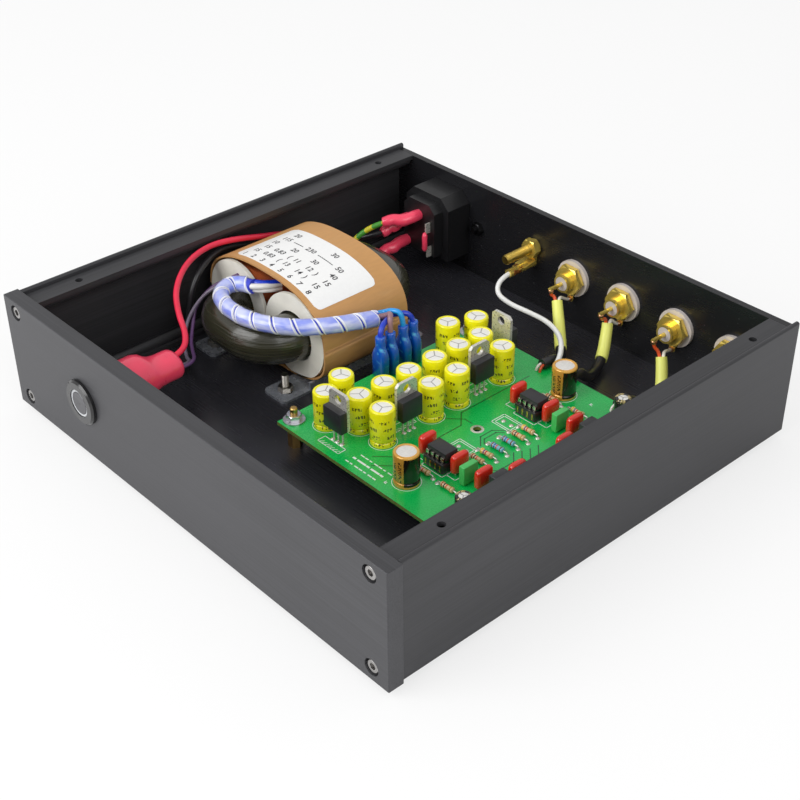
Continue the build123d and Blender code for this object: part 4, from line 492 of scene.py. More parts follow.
def resistor_paint(f, body, bands):
    """A lacquered body with colour bands across it."""
    x = f.axes()[0] / MM
    base = body
    for middle, shade in bands:
        base = f.mixed(x.between(middle - 0.28, middle + 0.28), base, shade)
    cloud = f.noise(500.0, 2.0)
    f.paint(base_color=base, roughness=cloud * 0.1 + 0.28, coat_weight=0.3)


def milky_band(f):
    """Thin milky tube cut in a spiral, through which blue and white leads show."""
    cloud = f.noise(260.0, 2.0)
    streak = (f.noise(1.0, 2.0, f.stretched(110.0, 110.0, 420.0)) - 0.38) * 4.0
    blue = f.mixed(streak, srgb(96, 122, 238), srgb(200, 208, 248))
    f.paint(base_color=f.mixed(cloud * 0.5, blue, srgb(222, 224, 244)), roughness=cloud * 0.12 + 0.16,
            coat_weight=0.7, coat_roughness=0.08)


def clear_sleeve(f, shade):
    """Blue see-through sleeve with painted highlights of light cyan where the connector's metal would shine
    inside, and painted shade darker towards its foot.
    """
    # Light cyan patches from a noise: a painted highlight.
    painted_glint = (f.noise(420.0, 2.0) - 0.56) * 5.0
    depth = f.axes()[2]
    light = f.mixed(painted_glint.math("MULTIPLY", 0.7, clamp=True), shade, srgb(96, 206, 246))
    cloud = f.noise(200.0, 1.0)
    # The colour darkens to under half towards the foot of the sleeve: painted shade.
    f.paint(base_color=f.mixed(depth / MM / 13.0, tinted(shade, 0.45), light), coat_weight=0.8,
            roughness=cloud * 0.12 + 0.14)


def backdrop(f):
    """Pale floor that is white to the eye where nothing shades it."""
    path = f.node("ShaderNodeLightPath", {}, {}, "Is Camera Ray")
    cloud = f.noise(3.0, 1.0)
    f.paint(base_color=f.mixed(cloud, (0.93, 0.93, 0.93, 1.0), (0.95, 0.95, 0.95, 1.0)), roughness=0.9)
    white = f.node("ShaderNodeEmission", {}, {"Color": WHITE, "Strength": 1.0})
    mixed = f.node("ShaderNodeMixShader", {}, {0: path * 0.7, 1: Value(f, f.shader.outputs[0]), 2: white})
    f.feed(f.output.inputs["Surface"], mixed)


# ---------------------------------------------------------------- shapes
def islands(node):
    """The lowest and highest corners of each group of touching solids in a CAD node, from left to right."""
    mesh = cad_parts[node].data
    keys = [tuple(round(c / WELD) for c in vertex.co) for vertex in mesh.vertices]
    home = {key: key for key in keys}

    def root(key):
        while home[key] != key:
            home[key] = home[home[key]]
            key = home[key]
        return key

    for polygon in mesh.polygons:
        first = root(keys[polygon.vertices[0]])
        for index in polygon.vertices:
            home[root(keys[index])] = first
    groups = {}
    for vertex, key in zip(mesh.vertices, keys):
        groups.setdefault(root(key), []).append(vertex.co)
    whole = []
    for group in groups.values():
        low, high = (Vector(map(pick, zip(*group))) for pick in (min, max))
        near = True
        while near:
            near = [box for box in whole if all(box[0][i] < high[i] + TOUCH and low[i] < box[1][i] + TOUCH
                                                for i in range(3))]
            for box in near:
                whole.remove(box)
                low, high = Vector(map(min, low, box[0])), Vector(map(max, high, box[1]))
        whole.append((low, high))
    return sorted(whole, key=lambda box: (round(box[0].x, 4), round(box[0].y, 4)))


def seats(node):
    """The number, the place at the foot and the size of each group of touching solids in a CAD node."""
    for number, (low, high) in enumerate(islands(node), start=1):
        yield number, Matrix.Translation((*((low + high) / 2).xy, low.z)), high - low


def connector_spots():
    """The middles of the tall push-on connectors."""
    return [(low + high) / 2 for low, high in islands("quick_connects") if high.z - low.z > CONNECTOR_HIGH]


def mm(*values):
    """A vector in metres from measures in millimetres."""
    return Vector([value * MM for value in values])


def squared(part, power):
    """A sine or cosine with its own sign, which makes a rounder or squarer curve as the power changes."""
    return abs(part) ** power * (1 if part >= 0 else -1)


def oval(count, power=1.0):
    """Points round a circle of radius 1, squarer as the power falls."""
    turns = [tau * k / count for k in range(count)]
    return [(squared(cos(turn), power), squared(sin(turn), power)) for turn in turns]


def marks_along(points):
    """The distance of each point from the first, along the line."""
    return list(accumulate(((b - a).length for a, b in zip(points, points[1:])), initial=0.0))


def span(marks, distance):
    """The number of the stretch between two marks that holds a distance, and the share of it passed there."""
    index = next((i for i, mark in enumerate(marks[1:]) if mark >= distance), len(marks) - 2)
    return index, (distance - marks[index]) / (marks[index + 1] - marks[index])


def heading(a, b):
    """The direction from a to b, and the level and upright directions across it."""
    onward = (Vector(b) - Vector(a)).normalized()
    aside = onward.cross(UP).normalized()
    return onward, aside, aside.cross(onward)


class Path:
    """A line of points with a length, and steady directions across it."""

    def __init__(self, points):
        self.points = points
        self.marks = marks_along(points)
        self.length = self.marks[-1]
        self.sides = []
        side = (points[1] - points[0]).orthogonal()
        for i in range(len(points)):
            onward = (points[min(i + 1, len(points) - 1)] - points[max(i - 1, 0)]).normalized()
            side = (side - onward * side.dot(onward)).normalized()
            self.sides.append((side.copy(), onward.cross(side)))

    def round(self, distance, radius, turn):
        """A point beside the line, at a distance along it, a radius away and turned about it."""
        i, share = span(self.marks, min(max(distance, 0.0), self.length))
        point = self.points[i].lerp(self.points[i + 1], share)
        side, up = (a.lerp(b, share).normalized() for a, b in zip(self.sides[i], self.sides[i + 1]))
        return point + (side * cos(turn) + up * sin(turn)) * radius


class Arch:
    """Half of the wrap's outline, from its left end over the middle to its right end."""

    def __init__(self, height, power):
        half = (WRAP_HIGH.x - WRAP_LOW.x) / 2
        turns = [pi * i / WRAP_STEPS - pi / 2 for i in range(WRAP_STEPS + 1)]
        self.points = [Vector((half * squared(sin(t), 2 / power), 0.0, height * abs(cos(t)) ** (2 / power)))
                       for t in turns]
        marks = marks_along(self.points)
        self.marks = [mark - marks[WRAP_STEPS // 2] for mark in marks]

    def outward(self, index):
        a, b = self.points[max(index - 1, 0)], self.points[min(index + 1, WRAP_STEPS)]
        along = (b - a).normalized()
        return Vector((-along.z, 0.0, along.x))

    def place(self, index, lift):
        """A point of the outline, raised from it."""
        return self.points[index] + self.outward(index) * lift

    def on(self, u, v, lift):
        """The place on the wrap that lies u along the outline from its middle and v along the windings."""
        index, share = span(self.marks, u)
        away = self.outward(index).lerp(self.outward(index + 1), share).normalized()
        point = self.points[index].lerp(self.points[index + 1], share) + away * lift
        return Vector((WRAP_MIDDLE.x + point.x, v, WRAP_CENTRE_Z + point.z))


class Shape:
    """A mesh in the making. Each part of it takes the number of its material."""

    def __init__(self):
        self.mesh = bmesh.new()

    def face(self, corners, slot):
        self.mesh.faces.new(corners).material_index = slot

    def skin(self, rings, slot=0, ends=True, strips=None):
        """Faces between rings of points in metres that have the same count, closed at both ends."""
        loops = [[self.mesh.verts.new(point) for point in ring] for ring in rings]
        for a, b in zip(loops, loops[1:]):
            for i in range(len(a)):
                j = (i + 1) % len(a)
                self.face((a[i], a[j], b[j], b[i]), strips[i] if strips else slot)
        if ends:
            self.face(loops[0][::-1], slot)
            self.face(loops[-1], slot)

    # The measures that the next three take are in millimetres.
    def turned(self, outline, place, slot=0, sides=32, ends=True):
        """An outline of (radius, height) points turned about the placed Z axis."""
        rings = [[place @ mm(r * x, r * y, h) for x, y in oval(sides)] for r, h in outline]
        self.skin(rings, slot, ends)

    def block(self, low, high, slot=0, edge=0.0, place=Matrix()):
        """A block between two opposite corners with its edges rounded."""
        low, high = (mm(*map(pick, low, high)) for pick in (min, max))
        fit = place @ Matrix.Translation((low + high) / 2) @ Matrix.Diagonal((*(high - low), 1.0))
        made = bmesh.ops.create_cube(self.mesh, size=1.0, matrix=fit)["verts"]
        for face in {face for vert in made for face in vert.link_faces}:
            face.material_index = slot
        if edge:
            edges = list(dict.fromkeys(line for vert in made for line in vert.link_edges))
            bmesh.ops.bevel(self.mesh, geom=edges, offset=edge * MM, segments=2, profile=0.5, affect="EDGES")

    def pipe(self, points, radius, slot=0, sides=8):
        """A round tube through the points."""
        path = Path([mm(*point) for point in points])
        self.skin([[point + (side * x + up * y) * radius * MM for x, y in oval(sides)]
                   for point, (side, up) in zip(path.points, path.sides)], slot)

    def piece(self, name, materials, slot, node=None, place=Matrix(), angle=38.0):
        """The finished object, smooth but for its sharp edges, in place of a CAD node."""
        bmesh.ops.remove_doubles(self.mesh, verts=self.mesh.verts, dist=1e-7)
        bmesh.ops.recalc_face_normals(self.mesh, faces=self.mesh.faces)
        for edge in self.mesh.edges:
            edge.smooth = not edge.is_manifold or edge.calc_face_angle() < radians(angle)
        for face in self.mesh.faces:
            face.smooth = True
        data = bpy.data.meshes.new(name)
        self.mesh.to_mesh(data)
        self.mesh.free()
        for material in materials:
            data.materials.append(material)
        return placed(name, data, node, place)


def added(name, data, place=Matrix()):
    """An object in the scene with its data, in its place."""
    made = bpy.data.objects.new(name, data)
    bpy.context.scene.collection.objects.link(made)
    made.matrix_world = place
    return made


def placed(name, data, node=None, place=Matrix()):
    """A piece from a mesh or curve, riding on the chassis, in place of a CAD node if one is named."""
    made = added(name, data, place)
    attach(made, "chassis")
    if node:
        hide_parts(node)
    return made


def nurbs(name, route, radius, material, swell=None):
    """A round wire along a smooth line that has the route's points as its control points."""
    curve = bpy.data.curves.new(name, "CURVE")
    curve.dimensions = "3D"
    curve.bevel_depth = radius
    curve.bevel_resolution = 5
    curve.resolution_u = 14
    curve.use_fill_caps = radius > 0
    spline = curve.splines.new("NURBS")
    spline.points.add(len(route) - 1)
    for point, place, share in zip(spline.points, route, swell or [1.0] * len(route)):
        point.co = (*place, 1.0)
        point.radius = share
    spline.order_u = 3
    spline.use_endpoint_u = True
    curve.materials.append(material)
    return curve


def mesh_of(curve):
    """The mesh of a curve or of a row of text."""
    guide = bpy.data.objects.new("guide", curve)
    mesh = bpy.data.meshes.new_from_object(guide)
    bpy.data.objects.remove(guide)
    bpy.data.curves.remove(curve)
    return mesh


def dress(material, *nodes):
    """Give CAD nodes their material."""
    for node in nodes:
        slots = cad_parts[node].data.materials
        if len(slots) == 0:
            slots.append(material)
        for index in range(len(slots)):
            slots[index] = material


def gold():
    return finish("gold_plate", metal, tone("gold"), 0.16, 300.0, 0.72)


def tin():
    return finish("tinned_metal", metal, srgb(222, 220, 212), 0.26, 900.0, 0.6)


def steel():
    return finish("plated_steel", metal, srgb(200, 200, 204), 0.28, 600.0)


# ---------------------------------------------------------------- operators
class PREAMP_OT_stage(bpy.types.Operator):
    """Set the camera, the soft lights, the surround and the pale floor"""
    bl_idname = "preamp.stage"
    bl_label = "Camera, lights and floor"

    def execute(self, context):
        scene, settings = context.scene, context.scene.preamp_stage
        scene.view_settings.view_transform = "Standard"
        camera = bpy.data.cameras.new("camera")
        camera.lens = CAMERA_LENS
        camera.sensor_width = SENSOR_WIDTH
        camera.clip_start = 0.01
        turn = Matrix((CAMERA_RIGHT, CAMERA_UP, CAMERA_BACK)).transposed().to_4x4()
        scene.camera = added("camera", camera, Matrix.Translation(CAMERA_PLACE) @ turn)
        for name, (place, size, power) in LAMPS.items():
            light = bpy.data.lights.new(name, "AREA")
            light.shape = "SQUARE"
            light.size = size
            light.energy = getattr(settings, power)
            aim = (LAMPS_AIM - Vector(place)).to_track_quat("-Z", "Y")
            added(name, light, Matrix.Translation(place) @ aim.to_matrix().to_4x4())
        self.surround(scene, settings.surround)
        half = settings.floor_size / 2
        data = bpy.data.meshes.new("floor")
        corners = [(x * half, y * half, 0.0) for x, y in ((-1, -1), (1, -1), (1, 1), (-1, 1))]
        data.from_pydata(corners, [], [range(4)])
        data.materials.append(finish("pale_floor", backdrop))
        added("floor", data)
        return {"FINISHED"}

    def surround(self, scene, strength):
        """An even light all round, which is white to the eye."""
        scene.world = bpy.data.worlds.new("surround")
        nodes = Nodes(scene.world)
        rays = nodes.node("ShaderNodeLightPath", {}, {}, "Is Camera Ray")
        seen = rays.larger(Value(nodes, rays.socket.node.outputs["Is Transmission Ray"]))
        level = nodes.node("ShaderNodeMapRange", {}, {"Value": seen, "To Min": strength, "To Max": 1.0})
        back = nodes.tree.nodes["Background"]
        nodes.feed(back.inputs["Strength"], level)
        nodes.feed(back.inputs["Color"], WHITE)


class PREAMP_OT_cords(bpy.types.Operator):
    """Lay the mains, transformer, earth and signal wires along their routes"""
    bl_idname = "preamp.cords"
    bl_label = "Wires and cables"

    def execute(self, context):
        looks = {
            "red_vinyl": finish("red_insulation", plastic, tone("red_insulation"), 0.34, 0.2),
            "neutral_black": finish("black_insulation", plastic, srgb(34, 33, 36), 0.36, 0.2),
            "earth_green": finish("earth_insulation", striped_vinyl, srgb(70, 150, 50), srgb(206, 196, 40)),
            "purple_wire": finish("purple_insulation", plastic, srgb(98, 66, 112), 0.36, 0.2),
            "grey_wire": finish("grey_insulation", plastic, srgb(128, 118, 136), 0.36, 0.2),
            "white_wire": finish("white_insulation", plastic, srgb(242, 242, 240), 0.26, 0.4),
            "black_cable": finish("cable_jacket", plastic, srgb(32, 32, 35), 0.38, 0.2),
        }
        for name, radius, length, stiffness, slot in CORDS:
            route = ROUTES[name]
            cord = placed(name + "_laid", nurbs(name, route, radius, looks[slot]), name)
        self.bundle(ROUTES["secondary_bundle"])
        return {"FINISHED"}

    def bundle(self, route):
        """A core of leads in a milky tube that is cut in a spiral."""
        guide = mesh_of(nurbs("guide", route, 0.0, None))
        path = Path([vertex.co.copy() for vertex in guide.vertices])
        bpy.data.meshes.remove(guide)
        core, steps, sides = Shape(), 90, 24
        turns = [tau * k / sides for k in range(sides)]
        lobes = [BUNDLE_RADIUS * CORE_SHARE * (1 + 0.05 * cos(3 * turn)) for turn in turns]
        core.skin([[path.round(path.length * step / steps, radius, turn)
                    for turn, radius in zip(turns, lobes)] for step in range(steps + 1)])
        blue = finish("blue_leads_in_wrap", plastic, srgb(44, 62, 196), 0.3, 0.3)
        cord = core.piece("secondary_bundle_core", [blue], "blue_leads", "secondary_bundle")
        band = Shape()
        outside = ((0.0, 0.88), (0.03, 0.99), (0.1, 1.0), (0.5, 0.97), (0.9, 1.0), (0.97, 0.99), (1.0, 0.88))
        section = [*outside, *((share, 0.82) for share, _ in reversed(outside))]
        rings = []
        for step in range(int(path.length / SPIRAL_PITCH * SPIRAL_STEPS)):
            turn = tau * step / SPIRAL_STEPS
            start = SPIRAL_PITCH * step / SPIRAL_STEPS
            width = SPIRAL_BAND * min(1.0, (path.length - start) / SPIRAL_BAND)
            rings.append([path.round(start + share * width, BUNDLE_RADIUS * high, turn)
                          for share, high in section])
        rim = [1, 1, 0, 0, 1, 1, 1]
        band.skin(rings, 1, strips=rim + rim[::-1])
        looks = [finish("milky_spiral", milky_band),
                 finish("cut_rim", plastic, srgb(238, 240, 248), 0.3, 0.4)]
        milky = band.piece("secondary_bundle_wrap", looks, "spiral_wrap", "secondary_bundle")


class PREAMP_OT_case(bpy.types.Operator):
    """Finish the panels, the base, the screws and the feet"""
    bl_idname = "preamp.case"
    bl_label = "Case"

    def execute(self, context):
        shade = tone("anodised")
        dress(finish("brushed_front", brushed, shade, "X"), "front_panel")
        # The side panels take the front's colour darkened by a fifth: painted shade on the same anodised
        # metal, for faces lit less than the front.
        dress(finish("brushed_side", brushed, tinted(shade, 0.8), "Y"), "left_side_panel", "right_side_panel")
        dress(finish("floor_black", smooth_black, srgb(50, 50, 55)), "bottom_plate")
        dress(finish("rear_black", smooth_black, srgb(33, 33, 36)), "rear_panel")
        dress(finish("socket_screws", metal, srgb(176, 174, 172), 0.3, 900.0), "front_screws")
        dress(finish("black_screws", metal, srgb(60, 60, 62), 0.35, 900.0), "countersunk_screws")
        dress(finish("foot_rubber", plastic, srgb(30, 30, 31), 0.75, 0.0), "feet")
        return {"FINISHED"}


class PREAMP_OT_button(bpy.types.Operator):
    """Finish the push button and mould the soft boot behind it"""
    bl_idname = "preamp.button"
    bl_label = "Power button"

    # Share of the boot's length, width and height as shares of its grip, and drop in millimetres.
    STATIONS = ((0.0, 0.99, 0.99, 0.0), (0.04, 1.02, 1.02, 0.0), (0.12, 1.0, 1.0, 0.0),
                (0.45, 1.02, 1.02, 0.0), (0.53, 1.0, 0.95, 0.2), (0.6, 0.92, 0.78, 0.5),
                (0.68, 0.86, 0.66, 0.8), (0.78, 0.82, 0.62, 0.9), (0.9, 0.8, 0.64, 0.9),
                (0.95, 0.78, 0.62, 0.9), (0.99, 0.7, 0.52, 0.9), (1.0, 0.6, 0.42, 0.9))
    WIDEST = 1.02
    CREASES = 5
    CREASE_DEPTH = 0.035

    def execute(self, context):
        dress(finish("button_rim", plastic, srgb(17, 17, 18), 0.3, 0.5), "button_housing")
        dress(finish("button_satin", brushed, srgb(96, 96, 99), "X"), "button_cap")
        dress(finish("light_ring", plastic, srgb(176, 178, 184), 0.3, 0.4), "button_ring")
        dress(steel(), "button_nut")
        self.boot()
        return {"FINISHED"}

    def boot(self):
        """Round on the barrel, drawn in and flattened towards the wires, with soft creases."""
        low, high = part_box("button_boot")
        grip = (high.x - low.x) / 2 / self.WIDEST
        shape = Shape()
        rings = []
        for share, wide, tall, drop in self.STATIONS:
            ring = []
            for turn in (tau * k / 48 for k in range(48)):
                crease = 1 - self.CREASE_DEPTH * max(0.0, share - 0.5) * cos(self.CREASES * turn)
                x, z = grip * wide * crease * cos(turn), grip * tall * crease * sin(turn)
                ring.append(Vector((BUTTON_AXIS.x + x, low.y + (high.y - low.y) * share,
                                    BUTTON_AXIS.z - drop * MM + z)))
            rings.append(ring)
        shape.skin(rings)
        skin = finish("boot_vinyl", plastic, tone("boot"), 0.3, 0.5)
        shape.piece("button_boot_moulded", [skin], "red_vinyl", "button_boot", angle=60.0)


class PREAMP_OT_inlet(bpy.types.Operator):
    """Finish the mains inlet and its drawer, and sleeve its terminals"""
    bl_idname = "preamp.inlet"
    bl_label = "Mains inlet"

    def execute(self, context):
        dress(finish("inlet_plastic", plastic, srgb(24, 24, 26), 0.42, 0.1), "inlet_housing", "fuse_drawer")
        dress(tin(), "inlet_contacts")
        dress(finish("fuse_glass", plastic, srgb(196, 204, 204), 0.2, 0.8), "fuse")
        pink = finish("terminal_sleeve", plastic, tone("boot"), 0.3, 0.5)
        sag = mm(0.4, 0.0, -0.5)
        for name in ("live", "neutral", "earth"):
            route = ROUTES[name + "_wire"][::1 if name == "earth" else -1]
            tip, corner, beyond = (Vector(point) for point in route[:3])
            tip.y = INLET_BACK - 0.1 * MM
            line = [tip, tip.lerp(corner, 0.6), corner, corner.lerp(beyond, 0.3) + sag,
                    corner.lerp(beyond, 0.55) - sag, corner.lerp(beyond, 0.8), beyond]
            curve = nurbs(name + "_sleeve", line, 2.9 * MM, pink, (0.86, 0.98, 0.9, 1.02, 0.86, 0.96, 0.7))
            placed(name + "_terminal_sleeve", curve, "terminal_sleeves")
        self.jumper(pink)
        return {"FINISHED"}

    def jumper(self, material):
        """The sleeve of the upright link between two terminals."""
        low, high = max(islands("terminal_sleeves"), key=lambda box: box[0].x)
        middle = (low + high) / 2
        radius = (high.x - low.x) / 2 / MM
        foot, waist, top = (z / MM for z in (low.z, middle.z, high.z))
        shape = Shape()
        outline = ((radius * 0.5, foot), (radius, foot + radius), (radius * 0.94, waist),
                   (radius, top - radius), (radius * 0.5, top))
        shape.turned(outline, Matrix.Translation((middle.x, middle.y, 0.0)), sides=20)
        shape.piece("terminal_jumper", [material], "red_vinyl", "terminal_sleeves", angle=70.0)


class PREAMP_OT_jacks(bpy.types.Operator):
    """Finish the phono jacks, and add their leads, solder and yellow tubes"""
    bl_idname = "preamp.jacks"
    bl_label = "Phono jacks"

    TUBE_RADIUS = 2.7 * MM
    LEAD_RADIUS = 0.72 * MM
    BOARD_LEAD_RADIUS = 0.55 * MM
    BEAD = ((0.3, -1.3), (0.9, -1.0), (1.25, -0.3), (1.2, 0.4), (0.8, 1.0), (0.3, 1.25))

    def execute(self, context):
        dress(gold(), "jack_bodies", "jack_centre_contacts", "jack_nuts", "jack_solder_tags")
        dress(finish("milky_washer", plastic, srgb(206, 198, 194), 0.3, 0.3), "jack_insulators")
        tube = finish("yellow_tube", plastic, tone("tube"), 0.36, 0.3)
        orange = finish("orange_insulation", plastic, srgb(222, 84, 40), 0.35, 0.3)
        white = finish("screen_insulation", plastic, srgb(238, 236, 228), 0.35, 0.3)
        places = zip(SLEEVE_ROUTES, islands("jack_nuts"), islands("jack_solder_tags"))
        for number, (route, nut, tag) in enumerate(places, start=1):
            curve = nurbs("lead_sleeve", route, self.TUBE_RADIUS, tube, (0.86, 1.0, 0.96))
            placed(f"lead_sleeve_{number}", curve, "lead_sleeves")
            self.leads(number, route, (nut[0] + nut[1]) / 2, tag[0], orange, white)
        for number in range(1, 5):
            self.board_ends(number, orange, white)
        return {"FINISHED"}

    def leads(self, number, route, axis, tag, orange, white):
        """The orange core to the pin and the white screen to the tag, with a bead of solder at each."""
        top = Vector(route[0])
        rise, aside, _ = heading(route[1], top)
        pin_low = min(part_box("jack_centre_contacts")[0].y, axis.y)
        pin = Vector((axis.x, pin_low + 0.9 * MM, axis.z - 0.9 * MM))
        lug = Vector((axis.x, tag.y, tag.z + 1.5 * MM))
        for name, side, near, end, material in (("core", -0.8, mm(0, 0, -2), pin, orange),
                                                ("screen", 0.8, mm(0, -2, 0), lug, white)):
            start = top + aside * side * MM
            line = [start - rise * 0.5 * MM, start + rise * 2.0 * MM, end + near, end]
            curve = nurbs("jack_lead", line, self.LEAD_RADIUS, material)
            placed(f"jack_{number}_{name}_lead", curve, "jack_leads")
        shape = Shape()
        for spot, turn in ((pin, 0.0), (lug - mm(0.0, 0.5, 0.0), pi / 2)):
            shape.turned(self.BEAD, Matrix.Translation(spot) @ Matrix.Rotation(turn, 4, "X"), sides=16)
        solder = finish("warm_solder", metal, srgb(222, 168, 128), 0.3, 500.0)
        shape.piece(f"jack_{number}_solder", [solder], "gold", "jack_leads", angle=80.0)

    def board_ends(self, number, orange, white):
        """The bared core and screen at the board end of a cable."""
        end = Vector(ROUTES[f"signal_cable_{number}"][-1])
        for name, side, material in (("screen", -1, white), ("core", 1, orange)):
            start = end + mm(side * 0.65, 0.6, 0.0)
            out = start + mm(side * 0.3, -2.6, 0.0)
            foot = (out.x, out.y - 0.3 * MM, BOARD_TOP)
            curve = nurbs("board_lead", [start, out, foot], self.BOARD_LEAD_RADIUS, material)
            placed(f"board_lead_{number}_{name}", curve, "board_leads")


class PREAMP_OT_ground_post(bpy.types.Operator):
    """Finish the earth post, its nuts and the crimped lugs"""
    bl_idname = "preamp.ground_post"
    bl_label = "Earth post"

    def execute(self, context):
        dress(finish("gold_thread", threaded, tone("gold"), "Y", 0.7 * MM), "ground_post")
        dress(gold(), "ground_post_nut", "ground_washer", "ground_thumb_nut", "ring_lugs")
        self.tongue(Vector(ROUTES["ground_wire"][0]))
        return {"FINISHED"}

    def tongue(self, end):
        """The lug's broad tongue and its crimped barrel, which has a brown bloom, over the wire's end."""
        shape = Shape()
        slope = Matrix.Translation(end) @ Matrix.Rotation(radians(8), 4, "X")
        shape.block((-3.1, 2.0, 0.6), (3.1, 9.2, 1.3), 0, 0.2, slope)
        shape.block((-2.3, -0.5, 0.5), (2.3, 2.6, 1.3), 1, 0.3, slope)
        barrel = ((-3.4, 1.75), (-3.2, 1.95), (-1.4, 1.8), (0.6, 1.95), (1.2, 1.7))
        shape.skin([[end + mm(radius * 1.15 * x, y, radius * 0.9 * z) for x, z in oval(20)]
                    for y, radius in barrel], 1)
        bloom = finish("browned_crimp", metal, srgb(150, 92, 44), 0.3, 260.0, 0.6)
        shape.piece("ground_lug_tongue", [gold(), bloom], "gold")


class PREAMP_OT_transformer(bpy.types.Operator):
    """Finish the transformer, and add its label and the leads out of its windings"""
    bl_idname = "preamp.transformer"
    bl_label = "Transformer"

    # Heights over the wrap of the label's two faces and of its numbers.
    LABEL_FOOT, LABEL_TOP, INK_LIFT = 0.03 * MM, 0.12 * MM, 0.15 * MM
    DIGIT_SIZE = 3.7 * MM
    FIRST_ROW, ROW_PITCH = 6.2, 4.9

    def execute(self, context):
        dress(finish("lacquered_core", lacquered_core, tone("core")), "transformer_core")
        dress(finish("bobbin_moulding", plastic, tone("bobbin"), 0.5, 0.0), "transformer_bobbins")
        dress(finish("enamelled_wire", enamelled_wire), "transformer_windings")
        dress(finish("dark_zinc", metal, srgb(150, 154, 162), 0.24, 300.0, 0.5), "transformer_brackets")
        dress(finish("bolt_thread", threaded, srgb(190, 186, 178), "Z", 0.5 * MM), "transformer_bolts")
        over = Arch(WRAP_TOP, 2.5)
        self.wrap(over, Arch(WRAP_BOTTOM, 3.2))
        self.label(over)
        self.leads()
        return {"FINISHED"}

    def wrap(self, over, under):
        """The board round both windings: a dome over their tops, tight round their ends."""
        shape = Shape()
        rings = []
        for y, lift in ((WRAP_LOW.y, -WRAP_THICKNESS), (WRAP_LOW.y, 0.0), (WRAP_HIGH.y, 0.0),
                        (WRAP_HIGH.y, -WRAP_THICKNESS), (WRAP_LOW.y, -WRAP_THICKNESS)):
            # The ring starts at the right end, crosses left inside the windings, goes over the top.
            ring = [over.place(index, lift) for index in (WRAP_STEPS, *range(1, WRAP_STEPS))]
            base = [under.place(index, lift) for index in range(WRAP_STEPS, 0, -1)]
            ring += [Vector((point.x, 0.0, -point.z)) for point in base]
            rings.append([Vector((WRAP_MIDDLE.x + point.x, y, WRAP_CENTRE_Z + point.z)) for point in ring])
        shape.skin(rings, ends=False)
        paper = finish("board_paper", board_paper, tone("kraft"))
        shape.piece("transformer_wrap_domed", [paper], "kraft_wrap", "transformer_wrap", angle=50.0)

    def label(self, over):
        """A thin sheet with rounded corners on the dome of the wrap, with rows of plain numbers."""
        left, right = -22.0 * MM, 33.0 * MM
        front, back = WRAP_LOW.y + 2.6 * MM, WRAP_LOW.y + 34.5 * MM
        corner, steps, parts = 2.6 * MM, 34, 60
        shape = Shape()
        rings = []
        for step in range(steps + 1):
            v = front + (back - front) * step / steps
            edge = min(v - front, back - v)
            inset = corner - (corner ** 2 - (corner - edge) ** 2) ** 0.5 if edge < corner else 0.0
            across = [left + inset + (right - left - 2 * inset) * i / parts for i in range(parts + 1)]
            rings.append([over.on(u, v, self.LABEL_TOP) for u in across]
                         + [over.on(u, v, self.LABEL_FOOT) for u in across[::-1]])
        shape.skin(rings)
        shape.piece("transformer_label", [finish("printed_label", printed_label)], "kraft_wrap")
        ink = finish("label_ink", plastic, srgb(44, 44, 48), 0.5, 0.0)
        for number, (row, start) in enumerate(LABEL_ROWS):
            curve = bpy.data.curves.new("label_row", "FONT")
            curve.body = row
            curve.size = self.DIGIT_SIZE
            curve.offset = 0.05 * MM
            curve.extrude = 0.02 * MM
            curve.resolution_u = 2
            data = mesh_of(curve)
            base = back - (self.FIRST_ROW + number * self.ROW_PITCH) * MM
            for vertex in data.vertices:
                x, y, z = vertex.co
                vertex.co = over.on(left + start * MM + x, base + y, self.INK_LIFT + z)
            data.materials.clear()
            data.materials.append(ink)
            placed(f"label_numbers_{number + 1}", data)

    def leads(self):
        """Blue and white leads from between the windings, and down to the connectors."""
        blue = finish("blue_insulation", plastic, srgb(20, 58, 196), 0.28, 0.4)
        white = finish("white_lead", plastic, srgb(236, 234, 230), 0.3, 0.4)
        sky = finish("sky_insulation", plastic, srgb(26, 150, 226), 0.28, 0.4)
        brown = finish("brown_insulation", plastic, srgb(150, 112, 120), 0.35, 0.3)
        route = ROUTES["secondary_bundle"]
        onward, aside, up = heading(route[1], route[0])
        # Each lead's place across and above the bundle's middle, its radius and its colour.
        inner = ((-1.3, 1.0, 1.5, blue), (1.4, 0.6, 1.3, white), (0.2, -1.5, 1.1, white))
        for number, (across, rise, radius, material) in enumerate(inner, start=1):
            begin = Vector(route[0]) + aside * across * MM + up * rise * MM - onward * 1.5 * MM
            out = begin + onward * 5.0 * MM
            inside = (out.x + 1.6 * MM, WRAP_LOW.y + 6.4 * MM, out.z - 1.5 * MM)
            curve = nurbs("winding_lead", [begin, out, inside], radius * MM, material)
            placed(f"winding_lead_{number}", curve, "secondary_leads")
        onward, aside, up = heading(route[-2], route[-1])
        spots = sorted(connector_spots(), key=lambda spot: spot.y)
        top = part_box("quick_connects")[1].z
        # Each lead's side across and above the bundle's middle, and its colour.
        fan = ((1, -1, blue), (1, 1, brown), (-1, 1, sky), (-1, -1, blue))
        for number, (spot, (across, rise, material)) in enumerate(zip(spots, fan), start=1):
            begin = Vector(route[-1]) + aside * across * 1.4 * MM + up * rise * 1.4 * MM - onward * 2.0 * MM
            out = begin + onward * 5.6 * MM
            end = Vector((spot.x, spot.y, top - 2.4 * MM))
            near = end + mm(0.0, 0.0, 7.0 + rise)
            over = ((out.x + near.x) / 2, out.y + (near.y - out.y) * 0.2, near.z)
            curve = nurbs("output_lead", [begin, out, over, near, end], 1.15 * MM, material)
            placed(f"output_lead_{number}", curve, "secondary_leads")


